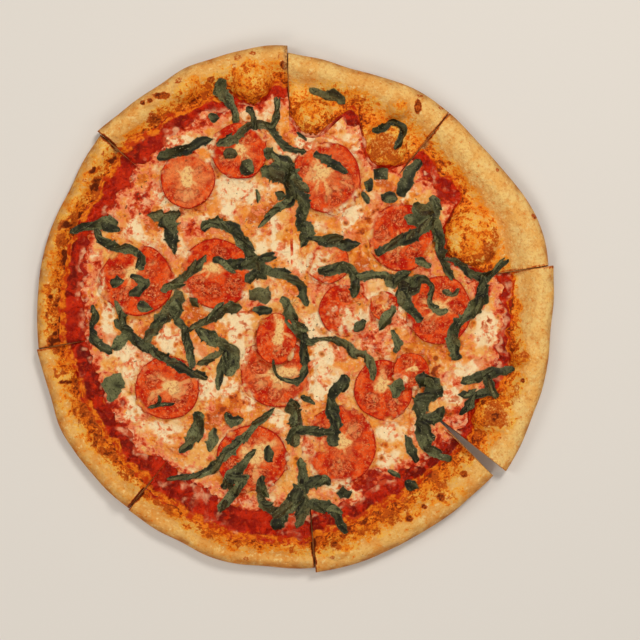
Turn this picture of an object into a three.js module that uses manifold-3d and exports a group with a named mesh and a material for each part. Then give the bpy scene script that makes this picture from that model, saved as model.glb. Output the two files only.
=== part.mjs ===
// A margherita pizza of about 365 mm, cut into eight slices that lie pulled slightly apart.
// Millimetres, +Z up, with the pizza's flat underside on z = 0.
// Each slice has layers of bread with a raised rim, of sauce and of cheese, which all run through to the cuts.
// Tomato slices lie on the cheese, and shreds of basil lie on top of everything, some across the cuts.
import * as THREE from "three";
import { mergeVertices } from "three/addons/utils/BufferGeometryUtils.js";
import Module from "manifold-3d";

const wasm = await Module();
wasm.setup();

// Bread
const CUT_CENTRE = [-1.5, 4]; // where the eight cuts meet, from the pizza's middle
const CUT_GAP = 1.0; // between two neighbouring slices
const BASE_THICKNESS = 4.5;
const SIDE_HEIGHT = 5.5; // height at which the rim reaches furthest out
const UNDERCUT = 3.5; // how far the underside stops short of the rim's outermost line
const SLICE_STEPS = 16; // facets across one slice

// Layers, each a small gap above the one below
const LAYER_GAP = 0.3;
const SAUCE_THICKNESS = 1.0;
const SAUCE_MOUND = 0.7; // how far open sauce stands above the sauce that the cheese covers
const CHEESE_THICKNESS = 2.3;
const CHEESE_RELIEF = 0.9;

// Toppings
const TOMATO_THICKNESS = 3.4;
const TOMATO_SIDES = 16;
const BASIL_THICKNESS = 0.9;
const BASIL_STEP = 9; // length of one facet along a shred
const REST_GAP = 0.35; // between a topping and what it lies on
const FUSED_DEPTH = 0.7; // how far a fused shred reaches into what it lies on
const FUSED_RISE = 0.8;

const SAUCE_BOTTOM = BASE_THICKNESS + LAYER_GAP;
const SAUCE_TOP = SAUCE_BOTTOM + SAUCE_THICKNESS;
const CHEESE_BOTTOM = SAUCE_TOP + LAYER_GAP;

// The slices, by the directions of their two cuts in degrees. The other values are spaced evenly from the first
// cut to the second: the outer radius from the pizza's middle, the rim's width and height, and the width of the
// open sauce between rim and cheese. A flare swings the second cut away from its neighbour, from halfway out.
const SLICES = {
  a: {
    cuts: [91.2, 138.7],
    radius: [185.5, 186, 185.5, 184, 187],
    rimWidth: [27, 28, 21],
    rimHeight: [15, 16, 14],
    openSauce: [6, 9, 15],
  },
  b: {
    cuts: [50.6, 91.2],
    radius: [175, 175.5, 173.5, 175, 180.5],
    rimWidth: [30, 29, 23],
    rimHeight: [15, 15, 16],
    openSauce: [8, 6, 5],
  },
  c: {
    cuts: [8.3, 50.6],
    radius: [181, 181.5, 177, 173.5, 175],
    rimWidth: [31, 33, 32],
    rimHeight: [16, 17, 16],
    openSauce: [7, 6, 11],
  },
  d: {
    cuts: [-38.3, 8.3],
    radius: [187, 183.5, 181.5, 180.5, 184.5],
    rimWidth: [32, 29, 30],
    rimHeight: [15, 16, 16],
    openSauce: [10, 7, 6],
  },
  e: {
    cuts: [-85.2, -38.3],
    radius: [186, 184, 180.5, 180.5, 182],
    rimWidth: [25, 30, 31],
    rimHeight: [15, 16, 16],
    openSauce: [14, 15, 9],
    flare: -2.4,
  },
  f: {
    cuts: [-128.6, -85.2],
    radius: [183.5, 182.5, 184, 182, 182.5],
    rimWidth: [21, 19, 20],
    rimHeight: [14, 14, 15],
    openSauce: [21, 22, 20],
  },
  g: {
    cuts: [-169.8, -128.6],
    radius: [183.5, 182.5, 185, 184, 182.5],
    rimWidth: [20, 24, 22],
    rimHeight: [13, 14, 14],
    openSauce: [15, 13, 18],
  },
  h: {
    cuts: [138.7, 190.2],
    radius: [183.5, 179.5, 180.5, 181.5, 182.5],
    rimWidth: [21, 18, 18],
    rimHeight: [14, 13, 13],
    openSauce: [13, 12, 15],
  },
};

// Bubbles that the oven raised in the bread: middle x and y, two radii, and height above the base
const BUBBLES = [
  [-31, 159, 15, 14, 14],
  [12.5, 135.5, 14, 13, 9],
  [64, 116, 15, 17, 9.5],
  [124, 50, 20, 20, 10],
  [139, -74, 16, 14, 12.5],
  [-162, -46, 9, 8, 9],
  [-78, 152, 9, 8, 12.5],
  [73, 141, 9, 8, 12.5],
  [-102, 145, 7, 6, 11],
  [159, -33, 8, 8, 13],
  [29, -168, 10, 8, 12],
  [-120, -128, 9, 8, 11.5],
];

// Tomato slices: middle x and y, two radii, and the slope of a slice that lies partly on its neighbour
const TOMATOES = [
  { at: [-75, 90], radii: [19, 19.5] },
  { at: [-39, 110], radii: [19.5, 19.5] },
  { at: [22, 92], radii: [24, 24.5] },
  { at: [74, 50], radii: [22, 24] },
  { at: [-110, 20], radii: [25, 24.5] },
  { at: [-55, 25], radii: [25, 24.5] },
  { at: [101, -1], radii: [23, 24] },
  { at: [-89, -55], radii: [22.5, 22] },
  { at: [-13, -45], radii: [24.5, 24.5] },
  { at: [-13, -21], radii: [14, 18], slope: [0, -0.12] },
  { at: [61.5, -56.5], radii: [20.5, 21] },
  { at: [81, -43], radii: [12.5, 12.5], slope: [-0.15, -0.09] },
  { at: [31, -95], radii: [25.5, 27] },
  { at: [-30, -104], radii: [24.5, 23] },
  { at: [23, 32], radii: [15, 14] },
  { at: [34, -1], radii: [17.5, 18] },
  { at: [62.5, 2], radii: [10, 10] },
];

// Shreds of basil as routes of [x, y, width]. The shreds of one node touch each other and are one body.
const BASIL = [
  [[[-53, 161, 8], [-52, 153, 9], [-46, 146, 7], [-42, 138, 5], [-41, 130, 4]]],
  [
    [[-55, 115, 5], [-44, 118, 6], [-34, 126, 6], [-24, 130, 6], [-16, 129, 6], [-13, 136, 5], [-13, 149, 4]],
    [[-34, 142, 4], [-30, 137, 4], [-27, 125, 4]],
    [[-18, 130, 5], [-11, 117, 5], [-3, 112, 5], [8, 110, 4]],
  ],
  [
    [[-22, 111, 6], [-6, 102, 8], [1, 88, 8], [5, 74, 8], [2, 62, 6], [7, 55, 6], [3, 43, 3]],
    [[-24, 98, 6], [-14, 96, 12], [-6, 92, 9], [-3, 76, 7], [-14, 69, 6], [-26, 57, 4]],
    [[5, 53, 4], [13, 49, 4], [26, 47, 9], [36, 45, 9], [46, 46, 6]],
  ],
  [
    [[-66, 56, 5], [-60, 60, 6], [-52, 60, 7], [-43, 57, 8], [-38, 50, 8], [-32, 39, 8], [-27, 31, 5]],
    [[-57, 36, 6], [-47, 31, 7], [-36, 31, 7], [-26, 33, 7], [-14, 39, 4]],
    [[-35, 19, 5], [-25, 26, 8], [-9, 24, 7], [3, 16, 7], [9, 2, 5]],
    [[-27, 33, 4], [-25, 24, 4]],
  ],
  [
    [[16, 27, 5], [25, 27, 7], [36, 29, 7], [43, 22, 7], [42, 14, 6], [40, 8, 5]],
    [[42, 23, 6], [55, 24, 6], [63, 23, 6], [64, 18, 4]],
  ],
  [
    [[97, 80, 7], [98, 66, 8], [100, 48, 7], [104, 33, 5], [110, 20, 4]],
    [[83, 74, 9], [90, 66, 13], [97, 58, 8]],
    [[56, 39, 5], [67, 44, 6], [80, 50, 7], [90, 57, 7], [98, 62, 5]],
    [[104, 35, 4], [112, 34, 4], [122, 26, 6], [133, 22, 7], [143, 29, 5], [150, 35, 3]],
    [[131, 24, 6], [132, 10, 8], [126, 1, 9], [118, -6, 7], [111, -14, 7], [111, -25, 9], [113, -36, 7]],
  ],
  [
    [[64, 16, 8], [72, 20, 12], [80, 17, 13], [89, 21, 6], [96, 15, 4], [94, 4, 4], [100, -2, 5], [107, -1, 3]],
    [[72, 14, 9], [78, 6, 9], [82, -1, 7], [88, -9, 4]],
  ],
  [
    [[-158, 53, 4], [-150, 57, 6], [-141, 58, 6], [-131, 59, 11], [-124, 61, 8]],
    [[-140, 57, 5], [-136, 48, 6], [-126, 43, 6], [-118, 42, 6], [-111, 40, 6], [-107, 34, 6], [-108, 27, 4]],
  ],
  [[[-94, 13, 5], [-80, 20, 6], [-70, 28, 6], [-62, 38, 4]]],
  [
    [[-127, -8, 5], [-118, -15, 7], [-109, -24, 7], [-98, -30, 7], [-88, -36, 7], [-76, -43, 6], [-61, -48, 4]],
    [[-79, 12, 9], [-86, 1, 12], [-95, -9, 9], [-105, -23, 6]],
    [[-126, 6, 4], [-123, 0, 5], [-118, -14, 5]],
    [[-85, -7, 5], [-78, -13, 6], [-75, -25, 6], [-72, -42, 5]],
    [[-142, 1, 4], [-139, -6, 5], [-143, -13, 5], [-139, -25, 7], [-130, -27, 8], [-115, -17, 6]],
  ],
  [
    [[-75, -15, 4], [-65, -9, 6], [-56, -4, 7], [-47, 0, 8], [-37, 1, 6]],
    [[-63, -10, 4], [-62, -18, 6], [-50, -25, 8], [-44, -32, 7], [-43, -41, 6], [-48, -47, 6]],
    [[-69, -39, 4], [-60, -35, 6], [-50, -30, 6]],
    [[-48, -30, 4], [-51, -38, 6], [-53, -47, 6], [-54, -57, 4]],
  ],
  [
    [[-9, 9, 6], [-4, 0, 9], [0, -10, 9], [5, -18, 8], [9, -22, 5], [18, -21, 3]],
    [[15, -21, 3], [22, -21, 3], [33, -23, 6], [41, -30, 6], [50, -33, 6], [54, -41, 6], [55, -50, 4]],
    [[6, -19, 5], [6, -32, 6], [6, -43, 6], [3, -49, 5], [-5, -50, 4], [-14, -46, 3], [-15, -36, 3]],
  ],
  [
    [[36, -46, 6], [34, -52, 7], [26, -59, 8], [25, -68, 8], [28, -78, 7], [27, -87, 8], [27, -96, 7]],
    [[-5, -66, 9], [0, -73, 9], [1, -83, 8], [-1, -89, 8], [0, -97, 6]],
    [[0, -85, 6], [10, -85, 6], [19, -86, 6], [28, -86, 5]],
  ],
  [
    [[-14, -69, 5], [-27, -81, 7], [-46, -99, 8], [-56, -109, 8], [-64, -115, 7], [-90, -119, 3]],
  ],
  [
    [[-27, -98, 3], [-34, -105, 5], [-40, -112, 7], [-46, -119, 8], [-51, -126, 6]],
    [[-32, -116, 5], [-42, -119, 5], [-49, -119, 5]],
    [[-34, -117, 5], [-42, -128, 6], [-50, -137, 6], [-54, -142, 4]],
  ],
  [
    [[4, -104, 5], [5, -116, 7], [5, -124, 9], [0, -130, 10], [-6, -139, 11], [-11, -148, 10], [-15, -155, 6]],
    [[3, -122, 6], [12, -122, 8], [25, -119, 6]],
    [[-23, -116, 5], [-24, -128, 7], [-21, -138, 7], [-8, -143, 6]],
    [[2, -127, 7], [7, -134, 8], [5, -143, 8], [1, -154, 5]],
    [[5, -134, 5], [16, -138, 8], [27, -142, 7], [32, -151, 6], [37, -157, 4]],
  ],
  [
    [[88, -74, 9], [90, -88, 10], [92, -96, 8], [98, -102, 6], [110, -106, 4]],
    [[104, -68, 4], [98, -76, 6], [89, -80, 6]],
    [[87, -49, 6], [97, -52, 8], [101, -56, 8], [93, -61, 8], [86, -66, 7], [88, -76, 6]],
  ],
  [
    [[116, -52, 5], [127, -48, 7], [135, -45, 7], [146, -44, 6], [154, -42, 4]],
    [[134, -45, 5], [137, -54, 6], [142, -62, 4]],
    [[114, -60, 5], [127, -60, 6], [138, -58, 6]],
    [[127, -59, 4], [122, -67, 5], [115, -74, 3]],
  ],
  [[[-66, -72, 8], [-69, -83, 9], [-73, -92, 7], [-81, -101, 5]]],
];

// Shreds and scraps that are fused to the one piece they lie on
const FUSED_BASIL = {
  crust_slice_b: [
    [[54, 124, 5], [62, 127, 5], [67, 131, 5], [76, 127, 5], [75, 121, 5], [70, 111, 5]],
  ],
  cheese_slice_a: [
    [[-97, 106, 6], [-87, 108, 7], [-75, 112, 6], [-65, 117, 4]],
    [[-60, 129, 5], [-56, 128, 7], [-52, 127, 5]],
  ],
  cheese_slice_b: [
    [[56, 94, 6], [60, 92, 9], [64, 89, 5]],
    [[53, 93, 4], [52, 88, 6], [51, 83, 4]],
  ],
  cheese_slice_c: [
    [[74, 81, 7], [79, 90, 9], [84, 98, 6]],
  ],
  cheese_slice_d: [
    [[60, -14, 5], [65, -6, 6], [69, -1, 4]],
    [[67, -15, 4], [71, -21, 6], [71, -31, 4]],
  ],
  cheese_slice_e: [
    [[77, -86, 4], [80, -94, 6], [82, -102, 4]],
    [[29, -129, 6], [34, -129, 8], [40, -128, 5]],
  ],
  cheese_slice_f: [
    [[-57, -83, 4], [-58, -91, 8], [-60, -100, 4]],
    [[-48, -72, 4], [-45, -78, 6], [-36, -77, 4]],
  ],
  cheese_slice_g: [
    [[-124, -48, 7], [-127, -56, 13], [-129, -64, 7]],
  ],
  cheese_slice_h: [
    [[-104, 67, 7], [-92, 66, 13], [-80, 66, 6]],
    [[-91, 66, 12], [-88, 54, 9], [-86, 44, 5]],
  ],
  tomato_02: [
    [[-50, 109, 6], [-45, 109, 7], [-40, 108, 5]],
    [[-37, 103, 7], [-33, 99, 10], [-29, 95, 6]],
  ],
  tomato_03: [[[13, 108, 5], [21, 105, 7], [29, 100, 7], [37, 95, 5]]],
  tomato_05: [
    [[-129, 18, 5], [-124, 19, 7], [-119, 20, 5]],
    [[-115, 22, 5], [-110, 22, 6], [-104, 17, 5], [-110, 12, 6], [-116, 10, 4]],
  ],
  tomato_07: [[[103, 13, 4], [110, 10, 4], [115, 14, 3]]],
  tomato_14: [[[-18, -95, 5], [-18, -101, 9], [-19, -107, 5]]],
};

const degrees = THREE.MathUtils.degToRad;
const mix = THREE.MathUtils.lerp;
const smooth = THREE.MathUtils.smoothstep;

// Numbers spaced evenly from 0 to 1 become a smooth line through them.
function along(values, u) {
  const knots = values.map((value, i) => new THREE.Vector3(i, value, 0));
  return new THREE.CatmullRomCurve3(knots, false, "catmullrom", 0.5).getPoint(u).y;
}

function lattice(ix, iy) {
  const s = Math.sin(ix * 127.1 + iy * 311.7) * 43758.5453;
  return s - Math.floor(s);
}

// Smooth bumps between -1 and 1, as wide as one unit
function bumps(x, y) {
  const ix = Math.floor(x);
  const iy = Math.floor(y);
  const fx = smooth(x - ix, 0, 1);
  const fy = smooth(y - iy, 0, 1);
  const low = mix(lattice(ix, iy), lattice(ix + 1, iy), fx);
  const high = mix(lattice(ix, iy + 1), lattice(ix + 1, iy + 1), fx);
  return 2 * mix(low, high, fy) - 1;
}

// One slice's own frame: distances run out from its tip, and u runs from its first cut (0) to its second (1).
class Slice {
  constructor({ cuts, radius, rimWidth, rimHeight, openSauce, flare = 0 }) {
    Object.assign(this, { cuts, radius, rimWidth, rimHeight, openSauce, flare });
    const half = degrees((cuts[1] - cuts[0]) / 2);
    const middle = degrees((cuts[0] + cuts[1]) / 2);
    const back = CUT_GAP / 2 / Math.sin(half);
    this.tip = [CUT_CENTRE[0] + back * Math.cos(middle), CUT_CENTRE[1] + back * Math.sin(middle)];
  }

  // The distance from the tip to the outer edge
  reach(u) {
    const angle = degrees(mix(this.cuts[0], this.cuts[1], u));
    const radius = along(this.radius, u);
    const inward = this.tip[0] * Math.cos(angle) + this.tip[1] * Math.sin(angle);
    const tipSquared = this.tip[0] ** 2 + this.tip[1] ** 2;
    const edge = Math.sqrt(inward ** 2 - tipSquared + radius ** 2) - inward;
    return edge + 0.7 * bumps(angle * 9, edge / 200);
  }

  point(u, distance, z) {
    const swing = this.flare * u * smooth(distance, 110, 190);
    const angle = degrees(mix(this.cuts[0], this.cuts[1], u) + swing);
    return [this.tip[0] + distance * Math.cos(angle), this.tip[1] + distance * Math.sin(angle), z];
  }

  // The distance at which the bread starts to rise: at the rim, or earlier at a bubble
  foot(u) {
    let foot = this.reach(u) - along(this.rimWidth, u);
    const [farX, farY] = this.point(u, 1000, 0);
    for (const [x, y, rx, ry] of BUBBLES) {
      const start = [(this.tip[0] - x) / rx, (this.tip[1] - y) / ry];
      const way = [(farX - this.tip[0]) / 1000 / rx, (farY - this.tip[1]) / 1000 / ry];
      const a = way[0] ** 2 + way[1] ** 2;
      const b = start[0] * way[0] + start[1] * way[1];
      const c = start[0] ** 2 + start[1] ** 2 - 1;
      const near = b * b > a * c ? (-b - Math.sqrt(b * b - a * c)) / a : 0;
      if (near > 0) foot = Math.min(foot, near);
    }
    return foot;
  }

  cheeseEdge(u) {
    const foot = this.foot(u);
    const ragged = 2.2 * bumps(foot * 0.02 + u * 7 + this.cuts[0], 3);
    const open = along(this.openSauce, u) + ragged;
    const free = this.reach(u) - along(this.rimWidth, u) - open;
    return Math.min(free, foot - 3);
  }

  // The height of the bread where it is open, from its distance and place
  breadTop(u, distance) {
    const [x, y] = this.point(u, distance, 0);
    const width = along(this.rimWidth, u);
    const inside = this.reach(u) - distance;
    const rim = (along(this.rimHeight, u) - BASE_THICKNESS) * smooth(width - inside, 0, 0.62 * width);
    let bubble = 0;
    for (const [bx, by, rx, ry, height] of BUBBLES) {
      const left = 1 - ((x - bx) / rx) ** 2 - ((y - by) / ry) ** 2;
      if (left > 0) bubble = Math.max(bubble, height * left ** 0.55);
    }
    const raised = Math.cbrt(rim ** 3 + bubble ** 3);
    const uneven = 0.8 * bumps(x / 13, y / 13) + 0.4 * bumps(x / 6 + 40, y / 6);
    const top = BASE_THICKNESS + raised + uneven * Math.min(1, raised / 6);
    const shoulder = 0.38 * width;
    const round = inside < shoulder ? Math.sqrt(1 - (1 - inside / shoulder) ** 2) : 1;
    return mix(SIDE_HEIGHT, top, round);
  }
}

const slices = Object.entries(SLICES).map(([letter, values]) => [letter, new Slice(values)]);

// A closed geometry out of triangles, turned so that its faces point out
function closedGeometry(triangles) {
  const kept = triangles.filter(([a, b, c]) => {
    const apart = (p, q) => Math.hypot(p[0] - q[0], p[1] - q[1], p[2] - q[2]) > 1e-6;
    return apart(a, b) && apart(b, c) && apart(c, a);
  });
  let volume = 0;
  for (const [a, b, c] of kept) {
    volume += a[0] * (b[1] * c[2] - b[2] * c[1]);
    volume += a[1] * (b[2] * c[0] - b[0] * c[2]);
    volume += a[2] * (b[0] * c[1] - b[1] * c[0]);
  }
  const facing = kept.map(([a, b, c]) => (volume < 0 ? [a, c, b] : [a, b, c]));
  const geometry = new THREE.BufferGeometry();
  geometry.setAttribute("position", new THREE.Float32BufferAttribute(facing.flat(2), 3));
  return mergeVertices(geometry, 1e-4);
}

function quad(triangles, a, b, c, d) {
  triangles.push([a, b, c], [a, c, d]);
}

// A layer of a slice: sectionAt gives its closed section at u, as [distance, height] round the layer.
function sliceLayer(slice, sectionAt) {
  const sections = [];
  for (let step = 0; step <= SLICE_STEPS; step++) sections.push(sectionAt(step / SLICE_STEPS));
  const rings = sections.map((section, step) => section.map(([d, z]) => slice.point(step / SLICE_STEPS, d, z)));
  const triangles = [];
  const count = rings[0].length;
  for (let step = 0; step < SLICE_STEPS; step++) {
    for (let i = 0; i < count; i++) {
      const next = (i + 1) % count;
      quad(triangles, rings[step][i], rings[step + 1][i], rings[step + 1][next], rings[step][next]);
    }
  }
  for (const [step, turned] of [[0, false], [SLICE_STEPS, true]]) {
    const outline = sections[step].map(([d, z]) => new THREE.Vector2(d, z));
    const sense = THREE.ShapeUtils.isClockWise(outline);
    for (const corners of THREE.ShapeUtils.triangulateShape(outline, [])) {
      const same = THREE.ShapeUtils.isClockWise(corners.map((i) => outline[i])) === sense;
      const face = corners.map((i) => rings[step][i]);
      triangles.push(same === turned ? face.reverse() : face);
    }
  }
  return closedGeometry(triangles);
}

function breadSection(slice, u) {
  const reach = slice.reach(u);
  const foot = slice.foot(u);
  const section = [[0, 0], [reach - UNDERCUT, 0], [reach - 0.8, 2]];
  for (const part of [0, 0.035, 0.11, 0.22, 0.34, 0.47, 0.6, 0.74, 0.88]) {
    const distance = mix(reach, foot, part);
    section.push([distance, slice.breadTop(u, distance)]);
  }
  section.push([foot, BASE_THICKNESS], [0, BASE_THICKNESS]);
  return section;
}

function sauceSection(slice, u) {
  const edge = slice.foot(u) - 0.7;
  const covered = slice.cheeseEdge(u) + 0.6;
  const middle = mix(covered, edge, 0.55);
  const [x, y] = slice.point(u, middle, 0);
  const mound = SAUCE_TOP + SAUCE_MOUND * (0.8 + 0.4 * bumps(x / 7, y / 7));
  return [
    [0, SAUCE_BOTTOM],
    [edge, SAUCE_BOTTOM],
    [mix(covered, edge, 0.9), mix(SAUCE_TOP, mound, 0.6)],
    [middle, mound],
    [covered, SAUCE_TOP],
    [0, SAUCE_TOP],
  ];
}

function cheeseHeight(x, y) {
  const lumps = 0.7 * bumps(x / 19, y / 19) + 0.45 * bumps(x / 8 + 17, y / 8 + 5);
  return CHEESE_BOTTOM + CHEESE_THICKNESS + CHEESE_RELIEF * lumps;
}

function cheeseSection(slice, u) {
  const edge = slice.cheeseEdge(u);
  const section = [[0, CHEESE_BOTTOM], [edge - 0.3, CHEESE_BOTTOM], [edge, CHEESE_BOTTOM + 0.6]];
  for (const part of [0.975, 0.89, 0.77, 0.63, 0.48, 0.33, 0.17, 0]) {
    const [x, y] = slice.point(u, edge * part, 0);
    const full = cheeseHeight(x, y);
    section.push([edge * part, mix(CHEESE_BOTTOM + 0.8, full, smooth(1 - part, -0.02, 0.12))]);
  }
  return section;
}

// What lies there already, as triangles sorted into square cells, to find how high a topping has to lie
class Ground {
  constructor() {
    this.cell = 8;
    this.cells = new Map();
  }

  add(geometry) {
    const flat = geometry.index ? geometry.toNonIndexed() : geometry;
    const p = flat.attributes.position.array;
    for (let i = 0; i < p.length; i += 9) {
      const face = [[p[i], p[i + 1], p[i + 2]], [p[i + 3], p[i + 4], p[i + 5]], [p[i + 6], p[i + 7], p[i + 8]]];
      const [a, b, c] = face;
      const area = (b[0] - a[0]) * (c[1] - a[1]) - (b[1] - a[1]) * (c[0] - a[0]);
      if (area < 1e-9) continue;
      const low = [0, 1].map((k) => Math.floor(Math.min(a[k], b[k], c[k]) / this.cell));
      const high = [0, 1].map((k) => Math.floor(Math.max(a[k], b[k], c[k]) / this.cell));
      for (let ix = low[0]; ix <= high[0]; ix++) {
        for (let iy = low[1]; iy <= high[1]; iy++) {
          const key = ix + "," + iy;
          if (!this.cells.has(key)) this.cells.set(key, []);
          this.cells.get(key).push({ a, b, c, area });
        }
      }
    }
  }

  height(x, y) {
    const key = Math.floor(x / this.cell) + "," + Math.floor(y / this.cell);
    let top = 0;
    for (const { a, b, c, area } of this.cells.get(key) ?? []) {
      const toB = ((x - a[0]) * (c[1] - a[1]) - (y - a[1]) * (c[0] - a[0])) / area;
      const toC = ((b[0] - a[0]) * (y - a[1]) - (b[1] - a[1]) * (x - a[0])) / area;
      if (toB >= -1e-6 && toC >= -1e-6 && toB + toC <= 1 + 1e-6) {
        top = Math.max(top, a[2] + toB * (b[2] - a[2]) + toC * (c[2] - a[2]));
      }
    }
    return top;
  }
}

// A slice of tomato: a disc with a rounded edge, sunken seed chambers and a slightly uneven outline
function tomato({ at, radii, slope = [0, 0] }, number, ground) {
  const lean = (x, y) => slope[0] * (x - at[0]) + slope[1] * (y - at[1]);
  let seat = 0;
  for (let ring = 0; ring <= 14; ring++) {
    for (let turn = 0; turn < 40; turn++) {
      const angle = (turn / 40) * 2 * Math.PI;
      const x = at[0] + (ring / 14) * radii[0] * 1.04 * Math.cos(angle);
      const y = at[1] + (ring / 14) * radii[1] * 1.04 * Math.sin(angle);
      seat = Math.max(seat, ground.height(x, y) - lean(x, y));
    }
  }
  const bottom = seat + REST_GAP;
  const ringAt = (share, height, chamber) => {
    const ring = [];
    for (let side = 0; side < TOMATO_SIDES; side++) {
      const angle = (side / TOMATO_SIDES) * 2 * Math.PI + number;
      const out = share * (1 + 0.03 * bumps(2 * Math.cos(angle) + number * 5, 2 * Math.sin(angle)));
      const x = at[0] + out * radii[0] * Math.cos(angle);
      const y = at[1] + out * radii[1] * Math.sin(angle);
      const sunk = side % 3 === 0 ? 0 : chamber;
      ring.push([x, y, bottom + height - sunk + lean(x, y)]);
    }
    return ring;
  };
  const rings = [
    ringAt(0.97, 0, 0),
    ringAt(1, TOMATO_THICKNESS * 0.6, 0),
    ringAt(0.93, TOMATO_THICKNESS, 0),
    ringAt(0.58, TOMATO_THICKNESS - 0.2, 0.7),
  ];
  const triangles = [];
  const middleTop = [at[0], at[1], bottom + TOMATO_THICKNESS - 0.2];
  for (let side = 0; side < TOMATO_SIDES; side++) {
    const next = (side + 1) % TOMATO_SIDES;
    for (let i = 0; i + 1 < rings.length; i++) {
      quad(triangles, rings[i][side], rings[i][next], rings[i + 1][next], rings[i + 1][side]);
    }
    triangles.push([rings[3][side], rings[3][next], middleTop]);
    if (side > 0 && next > 0) triangles.push([rings[0][0], rings[0][next], rings[0][side]]);
  }
  return closedGeometry(triangles);
}

// Evenly spaced stations along a shred, each with its two edge points on the plan
function stations(route, step) {
  const line = new THREE.CatmullRomCurve3(route.map((p) => new THREE.Vector3(...p)), false, "centripetal");
  const count = Math.max(2, Math.round(line.getLength() / step));
  const spots = line.getSpacedPoints(count);
  return spots.map((spot, i) => {
    const before = spots[Math.max(0, i - 1)];
    const after = spots[Math.min(count, i + 1)];
    const length = Math.hypot(after.x - before.x, after.y - before.y);
    const across = [(before.y - after.y) / length, (after.x - before.x) / length];
    const half = spot.z / 2;
    return [-1, 1].map((side) => [spot.x + side * half * across[0], spot.y + side * half * across[1]]);
  });
}

// The solid of a shred from its stations and the heights of its two underside edges
function shredSolid(places, heights, thickness) {
  const under = places.map((pair, i) => pair.map(([x, y], side) => [x, y, heights[i][side]]));
  const over = under.map((pair) => pair.map(([x, y, z]) => [x, y, z + thickness]));
  const triangles = [];
  const last = places.length - 1;
  for (let i = 0; i < last; i++) {
    quad(triangles, over[i][0], over[i][1], over[i + 1][1], over[i + 1][0]);
    triangles.push([under[i][0], under[i + 1][1], under[i][1]]);
    triangles.push([under[i][0], under[i + 1][0], under[i + 1][1]]);
    quad(triangles, under[i][0], over[i][0], over[i + 1][0], under[i + 1][0]);
    quad(triangles, under[i][1], under[i + 1][1], over[i + 1][1], over[i][1]);
  }
  quad(triangles, under[0][0], under[0][1], over[0][1], over[0][0]);
  quad(triangles, under[last][0], over[last][0], over[last][1], under[last][1]);
  return closedGeometry(triangles);
}

// Lifts the edges of a shred until no point of its underside is closer to the ground than the gap.
function restingHeights(places, ground) {
  const heights = places.map((pair, i) =>
    pair.map(([x, y], side) => ground.height(x, y) + REST_GAP + 0.25 + 0.25 * Math.sin(2.1 * i + 2.6 * side)),
  );
  const blend = (a, b, c, wb, wc) => a + wb * (b - a) + wc * (c - a);
  for (let round = 0; round < 24; round++) {
    for (let i = 0; i + 1 < places.length; i++) {
      for (let s = 0; s <= 8; s++) {
        for (let v = 0; v <= 6; v++) {
          const [on, across] = [s / 8, v / 6];
          const corner = across >= on ? [[i, 1], [i + 1, 1], across, on] : [[i + 1, 0], [i + 1, 1], on, across];
          const [[bi, bs], [ci, cs], first, second] = corner;
          const wb = first - second;
          const wc = second;
          const at = [0, 1].map((k) => blend(places[i][0][k], places[bi][bs][k], places[ci][cs][k], wb, wc));
          const z = blend(heights[i][0], heights[bi][bs], heights[ci][cs], wb, wc);
          const short = ground.height(at[0], at[1]) + REST_GAP - z;
          if (short > 0) {
            const near = on < 0.5 ? i : i + 1;
            heights[near][across < 0.5 ? 0 : 1] += short + 0.02;
          }
        }
      }
    }
  }
  return heights;
}

function toSolid(geometry) {
  const merged = geometry.clone();
  return new wasm.Manifold(
    new wasm.Mesh({
      numProp: 3,
      vertProperties: merged.attributes.position.array,
      triVerts: new Uint32Array(merged.index.array),
    }),
  );
}

function toGeometry(solid) {
  const mesh = solid.getMesh();
  const geometry = new THREE.BufferGeometry();
  const points = new Float32Array(mesh.numVert * 3);
  for (let i = 0; i < mesh.numVert; i++) {
    for (let k = 0; k < 3; k++) points[3 * i + k] = mesh.vertProperties[mesh.numProp * i + k];
  }
  geometry.setAttribute("position", new THREE.BufferAttribute(points, 3));
  geometry.setIndex(new THREE.BufferAttribute(new Uint32Array(mesh.triVerts), 1));
  return geometry;
}

function joined(geometries) {
  return toGeometry(geometries.map(toSolid).reduce((whole, next) => whole.add(next)));
}

// The piece with its fused shreds, which follow its own top
function withFusedBasil(name, geometry) {
  const routes = FUSED_BASIL[name];
  if (!routes) return geometry;
  const own = new Ground();
  own.add(geometry);
  const shreds = routes.map((route) => {
    const places = stations(route, BASIL_STEP);
    const heights = places.map((pair) => pair.map(([x, y]) => own.height(x, y) - FUSED_DEPTH));
    return shredSolid(places, heights, FUSED_DEPTH + FUSED_RISE);
  });
  return joined([geometry, ...shreds]);
}

function basilCluster(routes, ground) {
  const shreds = routes.map((route) => {
    const places = stations(route, BASIL_STEP);
    return shredSolid(places, restingHeights(places, ground), BASIL_THICKNESS);
  });
  return shreds.length > 1 ? joined(shreds) : shreds[0];
}

function material(color, roughness) {
  return new THREE.MeshStandardMaterial({ color, roughness, metalness: 0 });
}

const bread = material("#dfa863", 0.8);
const sauce = material("#a8200f", 0.4);
const cheese = material("#f0cf9d", 0.45);
const tomatoFlesh = material("#dc4a26", 0.3);
const basil = material("#3c4a2b", 0.6);

const pizza = new THREE.Group();
const ground = new Ground();

function addPiece(name, geometry, finish) {
  const whole = withFusedBasil(name, geometry);
  const mesh = new THREE.Mesh(whole, finish);
  mesh.name = name;
  pizza.add(mesh);
  ground.add(whole);
}

for (const [letter, slice] of slices) {
  addPiece("crust_slice_" + letter, sliceLayer(slice, (u) => breadSection(slice, u)), bread);
  addPiece("sauce_slice_" + letter, sliceLayer(slice, (u) => sauceSection(slice, u)), sauce);
  addPiece("cheese_slice_" + letter, sliceLayer(slice, (u) => cheeseSection(slice, u)), cheese);
}

const numbered = (word, index) => word + "_" + String(index + 1).padStart(2, "0");

TOMATOES.forEach((values, index) => {
  addPiece(numbered("tomato", index), tomato(values, index, ground), tomatoFlesh);
});

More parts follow.
